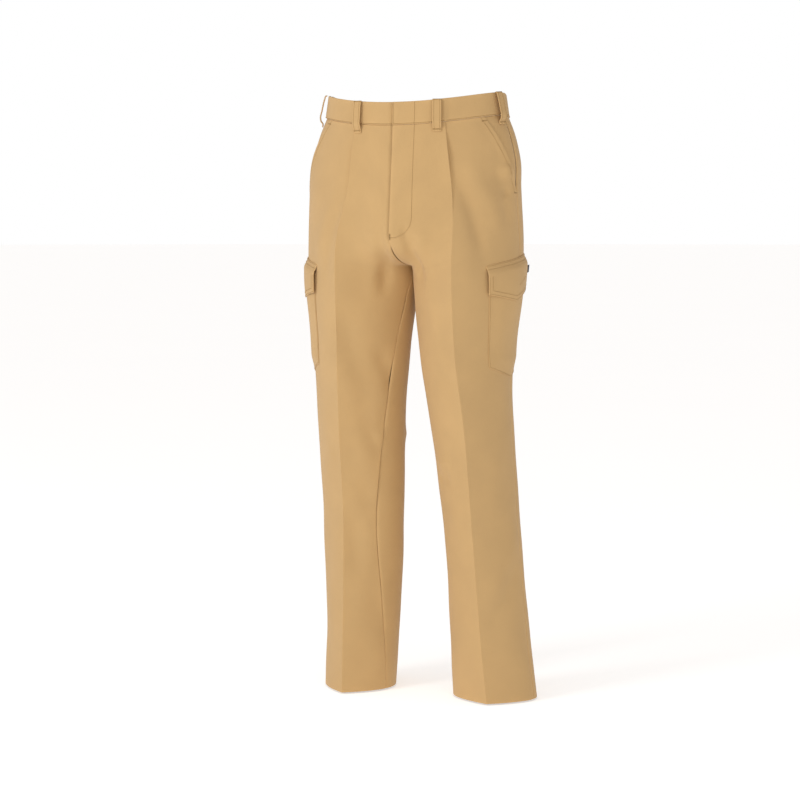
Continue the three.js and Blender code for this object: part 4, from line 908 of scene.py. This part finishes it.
def loop_frame(side, s):
    """Foot, up, out and across directions and length of a belt loop."""
    def at(s, h):
        return looked_up(side, "points", s, h)
    low, high = at(s, SEAM_H - LOOP_BELOW), at(s, TOP_H)
    up = (high - low) / np.linalg.norm(high - low)
    across = (at(min(s + 0.02, 4), SEAM_H) - at(max(s - 0.02, 0), SEAM_H)) * SIGN[side]
    if s == 4:
        across = np.array([-1.0, 0, 0])
    across = across - up * across.dot(up)
    across /= np.linalg.norm(across)
    out = np.cross(across, up)
    if out.dot([low[0], low[1], 0]) < 0:
        out = -out
    return low, up, out, np.cross(up, out), np.linalg.norm(high - low)


class TROUSERS_OT_belt_loops(bpy.types.Operator):
    """Seven belt loops, sewn down at both ends"""
    bl_idname = "trousers.belt_loops"
    bl_label = "Belt loops"

    def execute(self, context):
        cloth, sewing = settings(context)
        thick = cloth.pocket_thick * 1000
        places = [("back_centre", "left", 4)]
        for side in SIGN:
            places += [(f"front_{side}", side, float(s_at_x(FRONT_LOOP_X[side], SEAM_H))),
                       (f"side_{side}", side, SIDE_LOOP_S),
                       (f"back_{side}", side, float(s_at_x(SIGN[side] * BACK_LOOP_X, SEAM_H, back=True)))]
        for name, side, s in places:
            low, up, out, across, tall = loop_frame(side, s)
            stand = cloth.loop_rise * 1000
            foot = 1.0 if name.startswith("side") else 2.5      # beside the mouths it lies on the facing
            path = [(0, foot), (LOOP_END - 2, foot + 0.3), (LOOP_END + 2, stand * 0.72),
                    (LOOP_END + 7, stand), (tall / 2, stand + 0.3), (tall - 7, stand),
                    (tall - 1.5, stand - 0.8), (tall + 0.6, 3.6)]     # up the garment, out from it
            at = np.cumsum([0, *[math.dist(a, b) for a, b in zip(path, path[1:])]])

            def bowed(r, path=path, at=at):
                values = np.array(path)
                slopes = np.gradient(values, at, axis=0)
                k = np.clip(np.searchsorted(at, r, side="right") - 1, 0, len(at) - 2)
                t = ((r - at[k]) / (at[k + 1] - at[k]))[..., None]
                span = (at[k + 1] - at[k])[..., None]
                return hermite(values[k], values[k + 1], slopes[k] * span, slopes[k + 1] * span, t)

            def strap(c, r):
                here = bowed(r)
                ahead = bowed(np.minimum(r + 0.2, at[-1] - 1e-6)) - bowed(np.maximum(r - 0.2, 0))
                ahead = ahead / np.linalg.norm(ahead, axis=-1, keepdims=True)
                points = low + up * here[..., :1] + out * here[..., 1:] + across * c[..., None]
                return points, -up * ahead[..., 1:] + out * ahead[..., :1]
            half = LOOP_WIDTH / 2
            sew(f"loop_{name}", strap, marked(-half, half, 1.5, (), 1.2, 0.4),
                marked(0, at[-1] - 0.001, 1.4), 1.4 * thick, "twill",
                [f"belt_loop_{name}"])
            for c in (-half + LOOP_ROW_IN, half - LOOP_ROW_IN):
                line = strap(np.full(60, c), np.linspace(1, at[-1] - 1, 60))
                stitch("trousers", "loop_stitching", line, sewing)
            for r in (3.0, 4.4, at[-1] - 2.2, at[-1] - 3.4):          # bartacks at both ends
                line = strap(np.linspace(-half + 0.6, half - 0.6, 12), np.full(12, r))
                stitch("trousers", "loop_stitching", line, sewing, LOOP_TACK_PITCH, LOOP_TACK_LENGTH)
        return {"FINISHED"}


class TROUSERS_OT_side_pockets(bpy.types.Operator):
    """Facings and bags of the slanting side pockets"""
    bl_idname = "trousers.side_pockets"
    bl_label = "Side pockets"

    def execute(self, context):
        cloth, sewing = settings(context)
        for side in SIGN:
            def facing(c, h, side=side):
                seam = seam_dip(2 - c) * (h > SEAM_H - SLANT_DROP)
                return skin(side, np.minimum(c, 2 - SEAM_EDGE_S), h, FACING_OUT - seam, cloth)
            sew(f"{side}_pocket_facing", facing, marked(1.34, 2, 0.02, (), 0.02, 0.005),
                marked(SEAM_H - SLANT_DROP - 18, SEAM_H - SEAM_GAP, 3.5, (), 1.0, 0.5), FACING_THICK, "twill",
                [f"{side}_side_pocket_facing"])

            def sack(c, h, side=side):
                billow = -1.2 * np.sin((c - 1.1) / 0.84 * math.pi) * smooth((SEAM_H - 60 - h) / 60)
                return skin(side, c, h, BAG_OUT + billow, cloth)
            sew(f"{side}_pocket_bag", sack, marked(1.1, 1.94, 0.025),
                marked(SEAM_H - POCKET_BAG_DEPTH, SEAM_H - SEAM_GAP, 5), cloth.bag_thick * 1000,
                "pocketing", [f"{side}_side_pocket_bag"])
            # One row beside the mouth, bartacks at its ends.
            h = np.linspace(SEAM_H - SLANT_DROP + 2, SEAM_H - 2, 60)
            edge = front_edge(h) - (sewing.edge_gap + sewing.row_gap) * 1000 / MOUTH_S_LENGTH
            out = mouth_gape(1 + (edge - 1) / (front_edge(h) - 1), h)
            stitch("trousers", f"{side}_pocket_stitching", skin(side, edge, h, out, cloth), sewing)
            for h, s in ((SEAM_H - SLANT_DROP + 1, 2.0), (SEAM_H - 7, SLANT_TOP_S + 0.02)):
                for step in (0, 0.9):
                    line = line_on(side, [s - 0.085, s + 0.01], [h + step, h + step], 0.2, cloth, 12)
                    bartack(f"{side}_pocket_stitching", line, sewing)
        return {"FINISHED"}


class TROUSERS_OT_back_pockets(bpy.types.Operator):
    """Welts and bags of the back pockets"""
    bl_idname = "trousers.back_pockets"
    bl_label = "Back pockets"

    def execute(self, context):
        cloth, sewing = settings(context)
        middle = SEAM_H - WELT_DROP
        for side in SIGN:
            def welt(c, h, side=side):
                slit = 0.5 * np.exp(-((h - middle + 1.5) / 0.9) ** 2)      # between the two lips
                return skin(side, c, h, WELT_OUT - slit, cloth)
            sew(f"{side}_welt", welt, marked(WELT_FROM_S, WELT_TO_S, 0.02, (), 0.02, 0.005),
                marked(middle - WELT_HEIGHT / 2, middle + WELT_HEIGHT / 2, 1.2, (), 1.2, 0.4),
                WELT_THICK, "twill", [f"{side}_back_pocket_welt"])

            def sack(c, h, side=side):
                return skin(side, c, h, BACK_BAG_OUT - 0.8 * np.sin((c - 2.33) / 0.84 * math.pi), cloth)
            sew(f"{side}_back_bag", sack, marked(BACK_BAG_FROM_S, WELT_TO_S, 0.025),
                marked(middle - BACK_BAG_DOWN, middle + BACK_BAG_UP, 5), cloth.bag_thick * 1000,
                "pocketing", [f"{side}_back_pocket_bag"])
            name = f"{side}_back_stitching"
            low, high = middle - WELT_HEIGHT / 2 - 1.4, middle + WELT_HEIGHT / 2 + 1.4
            near, far = WELT_FROM_S - 0.01, WELT_TO_S + 0.0103
            box = line_on(side, [near, far, far, near, near], [low, low, high, high, low], 0.1, cloth, 160)
            stitch("trousers", name, box, sewing)
            for s in (WELT_FROM_S, WELT_TO_S):
                for step in (0, 0.008):
                    bartack(name, line_on(side, [s + step] * 2, [low, high], 1.7, cloth, 10), sewing)
        return {"FINISHED"}


class TROUSERS_OT_buttons(bpy.types.Operator):
    """Four-hole resin buttons of the back pockets"""
    bl_idname = "trousers.buttons"
    bl_label = "Buttons"

    def execute(self, context):
        cloth, sewing = settings(context)
        thick = BUTTON_THICK / 1000
        for side in SIGN:
            bpy.ops.object.select_all(action="DESELECT")
            bpy.ops.mesh.primitive_cylinder_add(vertices=48, radius=BUTTON_RADIUS / 1000, depth=thick,
                                                location=(0, 0, thick / 2))
            button = context.active_object
            button.name = button.data.name = f"{side}_button"
            bpy.ops.object.mode_set(mode="EDIT")
            bpy.ops.mesh.select_mode(type="FACE")
            bpy.ops.mesh.select_all(action="DESELECT")
            work = bmesh.from_edit_mesh(button.data)
            for face in work.faces:
                face.select = face.normal.z > 0.9
            bmesh.update_edit_mesh(button.data)
            for width, rise in BUTTON_RINGS:
                bpy.ops.mesh.inset(thickness=width / 1000, depth=rise / 1000)
            bpy.ops.object.mode_set(mode="OBJECT")
            for turn in (math.radians(45 + 90 * k) for k in range(4)):
                place = Vector((math.cos(turn), math.sin(turn), 0)) * (HOLE_OUT / 1000)
                bpy.ops.mesh.primitive_cylinder_add(vertices=16, radius=HOLE_RADIUS / 1000, depth=0.01,
                                                    location=place)
                cutter = context.active_object
                context.view_layer.objects.active = button
                cut = button.modifiers.new("hole", "BOOLEAN")
                cut.operation, cut.object, cut.solver = "DIFFERENCE", cutter, "EXACT"
                bpy.ops.object.modifier_apply(modifier=cut.name)
                bpy.data.objects.remove(cutter)
            bevel = button.modifiers.new("soft edges", "BEVEL")
            bevel.width, bevel.segments, bevel.limit_method = 0.00025, 2, "ANGLE"
            bpy.ops.object.modifier_apply(modifier=bevel.name)
            h = SEAM_H - WELT_DROP - WELT_HEIGHT / 2 - BUTTON_RADIUS - 3
            (seat, out), (above, _) = (skin(side, BUTTON_S, at, 0.5, cloth) for at in (h, h + 6))
            up = (above - seat) / np.linalg.norm(above - seat)
            out = out - up * out.dot(up)
            out /= np.linalg.norm(out)
            right = np.cross(up, out)
            place = Matrix([[*row, 0] for row in np.column_stack([right, up, out])] + [[0, 0, 0, 1]])
            button.data.transform(Matrix.Translation(Vector((seat - [0, 0, TOP_H]) / 1000)) @ place)
            button.location = (0, 0, 0)
            button.select_set(True)
            context.view_layer.objects.active = button
            bpy.ops.object.shade_smooth_by_angle(angle=math.radians(35))
            button.data.materials.clear()
            button.data.materials.append(material_of("button"))
            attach(button, "trousers")
            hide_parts(f"{side}_back_pocket_button")
            for turn in (math.radians(45), math.radians(135)):       # crossed thread through the holes
                arm = (right * math.cos(turn) + up * math.sin(turn)) * HOLE_OUT
                ends = np.array([seat + out * 2.1 + arm, seat + out * 2.1 - arm])
                stitch("trousers", f"{side}_back_stitching", (ends, np.array([out, out])), sewing, 3.3, 3.6)
        return {"FINISHED"}


# ---- cargo pockets and flaps ------------------------------------------------------------------------
def pocket_out(forward, h, cloth):
    """How far the pocket's cloth stands off: sewn flat at its edges, fuller in the middle."""
    inside = np.minimum(CARGO_HALF_WIDTH - np.abs(forward), h - cargo_floor(forward))
    return mix(CARGO_EDGE_OUT, cloth.pocket_rise * 1000, smooth(inside / CARGO_FULL))


def on_pocket(side, forward, h, cloth, extra=0.0):
    return skin(side, cargo_s(side, forward, h), h, pocket_out(forward, h, cloth) + extra, cloth)


def on_flap(side, forward, down, cloth, extra=0.0):
    """The flap: sewn to the leg above the fold, bent over it and hanging over the pocket's mouth."""
    rise = cloth.flap_rise * 1000
    out = np.interp(down, [-FLAP_BAND, -FLAP_BAND + 3, -3, 0, 3, 8, 60],
                    [1.5, 1.8, rise * 0.62, rise * 0.86, rise * 0.98, rise, rise - 0.6])
    ends = 0.7 * smooth((np.abs(forward) - FLAP_HALF_WIDTH + 14) / 14)
    wave = 0.35 * np.sin(forward / 17 + 1) * smooth(down / 30)
    h = fold_h(forward) - down
    return skin(side, cargo_s(side, forward, h), h, out - ends + wave + extra, cloth)


def three_sides(half, lower, upper, ends, bottom):
    """Down one side of a patch, along its lower edge and up the other side."""
    across = np.concatenate([np.full(ends, -half), np.linspace(-half, half, bottom), np.full(ends, half)])
    low = lower(across)
    along = np.concatenate([np.linspace(upper(-half), low[0], ends), low[ends:ends + bottom],
                            np.linspace(low[-1], upper(half), ends)])
    return across, along


class TROUSERS_OT_cargo_pockets(bpy.types.Operator):
    """Cargo pockets with their fastener pads"""
    bl_idname = "trousers.cargo_pockets"
    bl_label = "Cargo pockets"

    def execute(self, context):
        cloth, sewing = settings(context)
        half = CARGO_HALF_WIDTH
        for side in SIGN:
            def patch(c, r, side=side):
                return on_pocket(side, c, mix(cargo_floor(c), cargo_mouth(c), r), cloth)
            sew(f"{side}_cargo_cloth", patch, marked(-half, half, 2.4, (0,), 1.6, 0.5),
                marked(0, 1, 0.014, (), 0.012, 0.003), PATCH_THICK, "twill",
                [f"{side}_cargo_pocket"])

            def pad(c, h, side=side):
                bumpy = 0.15 * np.sin(c * 2.1) * np.sin(h * 2.3)
                return on_pocket(side, c, h - FLAP_SLOPE * c, cloth, LOOP_PAD_OUT + bumpy)
            top = FOLD_H - PAD_DROP
            sew(f"{side}_loop_pad", pad, marked(-PAD_HALF_WIDTH, PAD_HALF_WIDTH, 1.2),
                marked(top - PAD_HEIGHT, top, 1), LOOP_PAD_THICK, "hook_and_loop",
                [f"{side}_pocket_loop_pad"])
            gap = sewing.edge_gap * 1000
            forward, h = three_sides(half - gap, lambda c: cargo_floor(c) + gap * POINT_SLANT, cargo_mouth,
                                     60, 60)
            stitch("trousers", f"{side}_cargo_stitching", on_pocket(side, forward, h, cloth, ROW_OUT), sewing)
        return {"FINISHED"}


class TROUSERS_OT_flaps(bpy.types.Operator):
    """Pointed flaps that bend at their fold, their fasteners and the ribbon tab"""
    bl_idname = "trousers.flaps"
    bl_label = "Cargo flaps"

    def execute(self, context):
        cloth, sewing = settings(context)
        half = FLAP_HALF_WIDTH
        down_fold = Vector((0, FLAP_SLOPE, -1)).normalized()
        for side in SIGN:
            hinge = next(j for j in frame["joints"] if j["name"] == f"{side}_flap_hinge")
            pivot = Vector(hinge["pos_m"])

            def leaf(c, r, side=side):
                return on_flap(side, c, np.where(r < 0, r * FLAP_BAND, r * flap_depth(c)), cloth)
            sew(f"{side}_flap_cloth", leaf, marked(-half, half, 2.4, (0,), 1.8, 0.6),
                np.concatenate([np.linspace(-1, -0.05, 16), marked(0, 1, 0.03, (), 0.03, 0.01)]),
                FLAP_THICK, "twill",
                [f"{side}_cargo_flap", f"{side}_flap_seam_band"],
                blend=("trousers", f"{side}_flap", pivot - down_fold * 0.002, pivot + down_fold * 0.006))

            def pad(c, d, side=side):
                return on_flap(side, c, d, cloth, HOOK_PAD_OUT + 0.1 * np.sin(c * 2.1) * np.sin(d * 2.3))
            sew(f"{side}_hook_pad", pad, marked(-PAD_HALF_WIDTH, PAD_HALF_WIDTH, 1.2),
                marked(PAD_DROP, PAD_DROP + PAD_HEIGHT, 1), HOOK_PAD_THICK, "hook_and_loop",
                [f"{side}_flap_hook_pad"], body=f"{side}_flap")
            edge = sewing.edge_gap * 1000
            for gap in (edge, edge + sewing.row_gap * 1000):
                c, d = three_sides(half - gap, lambda c, gap=gap: flap_depth(c) - gap * POINT_SLANT,
                                   lambda c: FLAP_ROW_FROM, 20, 80)
                line = on_flap(side, c, d, cloth, ROW_OUT)
                stitch(f"{side}_flap", f"{side}_flap_stitching", line, sewing)
            for d in (-FLAP_BAND + 1.6, -FLAP_BAND + 7.0):
                line = on_flap(side, np.linspace(-half + 1, half - 1, 80), np.full(80, d), cloth, ROW_OUT)
                stitch("trousers", f"{side}_cargo_stitching", line, sewing)
            c = np.linspace(-6, -30, 20)                          # short slanting row of the pen slot
            line = on_flap(side, c, np.interp(c, [-30, -6], [22, 32]), cloth, ROW_OUT)
            stitch(f"{side}_flap", f"{side}_flap_stitching", line, sewing)

        def tab(c, r):
            sprung = 0.8 * np.maximum(c, 0)               # it springs away from the leg
            return on_flap("left", -half - 0.2 - c, TAB_DOWN - r, cloth, sprung - 0.3)
        sew("ribbon_tab", tab, marked(-TAB_SEWN_IN, TAB_OUT, 0.8), marked(0, TAB_HEIGHT, 0.8), RIBBON_THICK,
            "ribbon", ["flap_ribbon_tab"], body="left_flap")
        return {"FINISHED"}


# ---- fly --------------------------------------------------------------------------------------------
class TROUSERS_OT_fly(bpy.types.Operator):
    """Facing, shield and underlap behind the fly, zip tapes, and the curved stitching"""
    bl_idname = "trousers.fly"
    bl_label = "Fly"

    def execute(self, context):
        cloth, sewing = settings(context)
        deep = FRONT_RISE - FORK_FRONT - 1

        def curve_in(down):
            return FLY_ROUND * (1 - np.sqrt(1 - (1 - np.clip((deep + 6 - down) / FLY_ROUND, 0, 1)) ** 2))

        def facing(c, down):
            x = np.minimum(c, np.maximum(FLY_WIDTH - curve_in(down), 1 + c / 12))
            return front_skin(x, SEAM_H - down, FLY_FACING_OUT, cloth)
        sew("fly_facing_cloth", facing, marked(1, FLY_WIDTH, 3), marked(1, deep, 4), FLY_FACING_THICK,
            "twill", ["fly_facing"])

        def shield(x, down):
            out = mix(-2.4, -11.0, smooth((x + 16) / 18))
            return front_skin(x, SEAM_H - down, out, cloth)
        sew("fly_shield_cloth", shield, marked(-16, 30, 2.5), marked(1, ZIP_LENGTH + 8, 5), SHIELD_THICK,
            "twill", ["fly_shield"])

        def underlap(x, h):
            out = mix(-4.2, -8.2, smooth((x + 4) / 12))
            return front_skin(x, h, out, cloth)
        sew("underlap_cloth", underlap, marked(-16, 38, 2, (), 1.5, 0.5),
            marked(SEAM_H + 3, TOP_H - 3, 3, (), 1.5, 0.5), UNDERLAP_THICK, "twill",
            ["waistband_underlap"])

        def at_zip(down):
            return looked_up("left", "points", s_at_x(ZIP_X, SEAM_H - down), SEAM_H - down)
        top, bottom = at_zip(ZIP_DOWN), at_zip(ZIP_DOWN + ZIP_LENGTH)
        up = (top - bottom) / np.linalg.norm(top - bottom)
        side_on = np.array([1.0, 0, 0]) - up * up[0]
        side_on /= np.linalg.norm(side_on)
        inwards = np.cross(up, side_on)
        for side, sign in SIGN.items():
            def tape(c, z, sign=sign):
                points = (top + side_on * (sign * c)[..., None] + up * z[..., None]
                          + inwards * (ZIP_DEPTH - TAPE_THICK / 2))
                return points, np.broadcast_to(-inwards, points.shape)
            sew(f"{side}_tape", tape, marked(TAPE_NEAR, TAPE_NEAR + TAPE_WIDTH, 1.0),
                marked(-ZIP_LENGTH, 0, 4), TAPE_THICK, "zip_tape",
                [f"zip_tape_{side}"])
        # The curved row that holds the facing, with a bartack where it meets the seam.
        down = np.linspace(0, deep + 5, 120)
        x = np.maximum(FLY_WIDTH - curve_in(down), 1.0)
        x = np.concatenate([x, np.linspace(x[-1], 1.0, 8)])
        down = np.concatenate([down, np.full(8, deep + 5.5)])
        stitch("trousers", "fly_stitching", front_skin(x, SEAM_H - down, ROW_OUT, cloth), sewing)
        for x in (1.2, 2.4):
            line = front_skin(np.full(8, x), np.linspace(SEAM_H - deep - 9, SEAM_H - deep + 1, 8), 0.3, cloth)
            bartack("fly_stitching", line, sewing)
        return {"FINISHED"}


class TROUSERS_OT_metalwork(bpy.types.Operator):
    """Finishes of the zip's metal parts and of the waist hook and bar"""
    bl_idname = "trousers.metalwork"
    bl_label = "Zip and hook"

    def execute(self, context):
        looks = {"zip_metal": ["zip_teeth_left", "zip_teeth_right", "zip_bottom_stop", "zip_slider",
                               "zip_pull"],
                 "hook_metal": ["waist_hook", "waist_bar"]}
        for look, names in looks.items():
            for name in names:
                node = frame["nodes"][name]
                node.data.materials.clear()
                node.data.materials.append(material_of(look))
        return {"FINISHED"}


class TROUSERS_OT_thread(bpy.types.Operator):
    """All the stitches that the other steps have laid, one object to a group"""
    bl_idname = "trousers.thread"
    bl_label = "Thread"

    def execute(self, context):
        sewing = context.scene.trousers_sewing
        for body, name in sorted(STITCHES):
            sew_thread(body, name, sewing)
        return {"FINISHED"}


# ---- stage, in metres -------------------------------------------------------------------------------
CAMERA_TURN = math.radians(22)
CAMERA_FAR, CAMERA_UP, AIM_UP, CAMERA_REACH = 3.6, 0.82, 0.505, 200
FOCAL, SENSOR, CAMERA_SHIFT = 94.2, 36.0, -0.02125
FLOOR_RADIUS, FLOOR_GAP = 60, 0.003
SKY_FRONT, SKY_BACK, SKY_SEEN = 0.79, 0.3, 1.0      # the backdrop's light from in front and behind, its look
WARM, WHITE = (1.0, 0.965, 0.94, 1.0), (1.0, 1.0, 1.0, 1.0)
LIGHTS = (("key", 2.2, -2.9, 1.5, 1.1, 38),         # towards the camera, right and up of the middle
          ("front_fill", 3.4, 0.6, 1.2, 2.0, 9))    # of the trousers, then side in metres and watts


def area_light(name, place, aim, size, power):
    lamp = bpy.data.lights.new(name, "AREA")
    lamp.shape, lamp.size, lamp.energy = "SQUARE", size, power
    made = bpy.data.objects.new(name, lamp)
    made.location = place
    made.rotation_euler = (aim - Vector(place)).to_track_quat("-Z", "Y").to_euler()
    bpy.context.scene.collection.objects.link(made)


class TROUSERS_OT_stage(bpy.types.Operator):
    """Floor, soft lights and camera"""
    bl_idname = "trousers.stage"
    bl_label = "Stage"

    def execute(self, context):
        scene = context.scene
        floor_z = -TOP_H / 1000 - FLOOR_GAP
        bpy.ops.object.select_all(action="DESELECT")
        bpy.ops.mesh.primitive_circle_add(vertices=96, radius=FLOOR_RADIUS, fill_type="NGON",
                                          location=(0, 0, floor_z))
        floor = context.active_object
        floor.name = "floor"
        floor.data.materials.append(pale_floor("studio_floor_paint"))
        world = bpy.data.worlds.new("studio")
        scene.world = world
        world.use_nodes = True
        # The backdrop is seen near white; it lights the cloth with less, and least from behind.
        tree = world.node_tree
        seen = add_node(tree, "ShaderNodeLightPath").outputs["Is Camera Ray"]
        view = add_node(tree, "ShaderNodeTexCoord").outputs["Generated"]
        way = add_node(tree, "ShaderNodeSeparateXYZ", {0: view})
        soft = add_node(tree, "ShaderNodeMapRange", {"Value": way.outputs["Y"], "From Min": -1.0,
                        "From Max": 1.0, "To Min": SKY_FRONT, "To Max": SKY_BACK})
        strength = add_node(tree, "ShaderNodeMapRange", {"Value": seen, "To Min": soft.outputs[0],
                            "To Max": SKY_SEEN})
        background = tree.nodes["Background"]
        warm = add_node(tree, "ShaderNodeMix", {0: seen, 6: WARM, 7: WHITE}, data_type="RGBA")
        tree.links.new(warm.outputs[2], background.inputs["Color"])
        tree.links.new(strength.outputs[0], background.inputs["Strength"])
        scene.view_settings.view_transform = "Standard"
        centre = Vector((0, 0, -0.5))
        to_camera = Vector((math.sin(CAMERA_TURN), -math.cos(CAMERA_TURN), 0))
        right = Vector((math.cos(CAMERA_TURN), math.sin(CAMERA_TURN), 0))
        for name, near, across, up, size, power in LIGHTS:
            place = centre + to_camera * near + right * across + Vector((0, 0, up))
            area_light(name, place, centre, size, power)
        camera = bpy.data.cameras.new("camera")
        camera.lens, camera.sensor_width, camera.shift_x = FOCAL, SENSOR, CAMERA_SHIFT
        camera.clip_end = CAMERA_REACH
        eye = bpy.data.objects.new("camera", camera)
        eye.location = to_camera * CAMERA_FAR + Vector((0, 0, CAMERA_UP - TOP_H / 1000))
        aim = Vector((0, 0, AIM_UP - TOP_H / 1000))
        eye.rotation_euler = (aim - eye.location).to_track_quat("-Z", "Y").to_euler()
        scene.collection.objects.link(eye)
        scene.camera = eye
        return {"FINISHED"}


STEPS = (TROUSERS_OT_stage, TROUSERS_OT_shell, TROUSERS_OT_waistband, TROUSERS_OT_belt_loops,
         TROUSERS_OT_side_pockets, TROUSERS_OT_back_pockets, TROUSERS_OT_buttons, TROUSERS_OT_cargo_pockets,
         TROUSERS_OT_flaps, TROUSERS_OT_fly, TROUSERS_OT_metalwork, TROUSERS_OT_thread)


class TROUSERS_PT_steps(bpy.types.Panel):
    """The steps in the order in which they are sewn"""
    bl_idname = "TROUSERS_PT_steps"
    bl_label = "Cargo work trousers"
    bl_space_type = "VIEW_3D"
    bl_region_type = "UI"
    bl_category = "Trousers"

    def draw(self, context):
        for group in ("trousers_cloth", "trousers_sewing", "trousers_colours"):
            values = getattr(context.scene, group)
            box = self.layout.box()
            for key in values.bl_rna.properties.keys():
                if key not in ("rna_type", "name"):
                    box.prop(values, key)
        for step in STEPS:
            self.layout.operator(step.bl_idname)


CLASSES = (TrousersCloth, TrousersSewing, TrousersColours, *STEPS, TROUSERS_PT_steps)


def register():
    for cls in CLASSES:
        bpy.utils.register_class(cls)
    bpy.types.Scene.trousers_cloth = bpy.props.PointerProperty(type=TrousersCloth)
    bpy.types.Scene.trousers_sewing = bpy.props.PointerProperty(type=TrousersSewing)
    bpy.types.Scene.trousers_colours = bpy.props.PointerProperty(type=TrousersColours)


def unregister():
    for name in ("trousers_cloth", "trousers_sewing", "trousers_colours"):
        delattr(bpy.types.Scene, name)
    for cls in reversed(CLASSES):
        bpy.utils.unregister_class(cls)


def main():
    register()
    for step in STEPS:
        area, name = step.bl_idname.split(".")
        getattr(getattr(bpy.ops, area), name)()


if __name__ == "__main__":
    main()
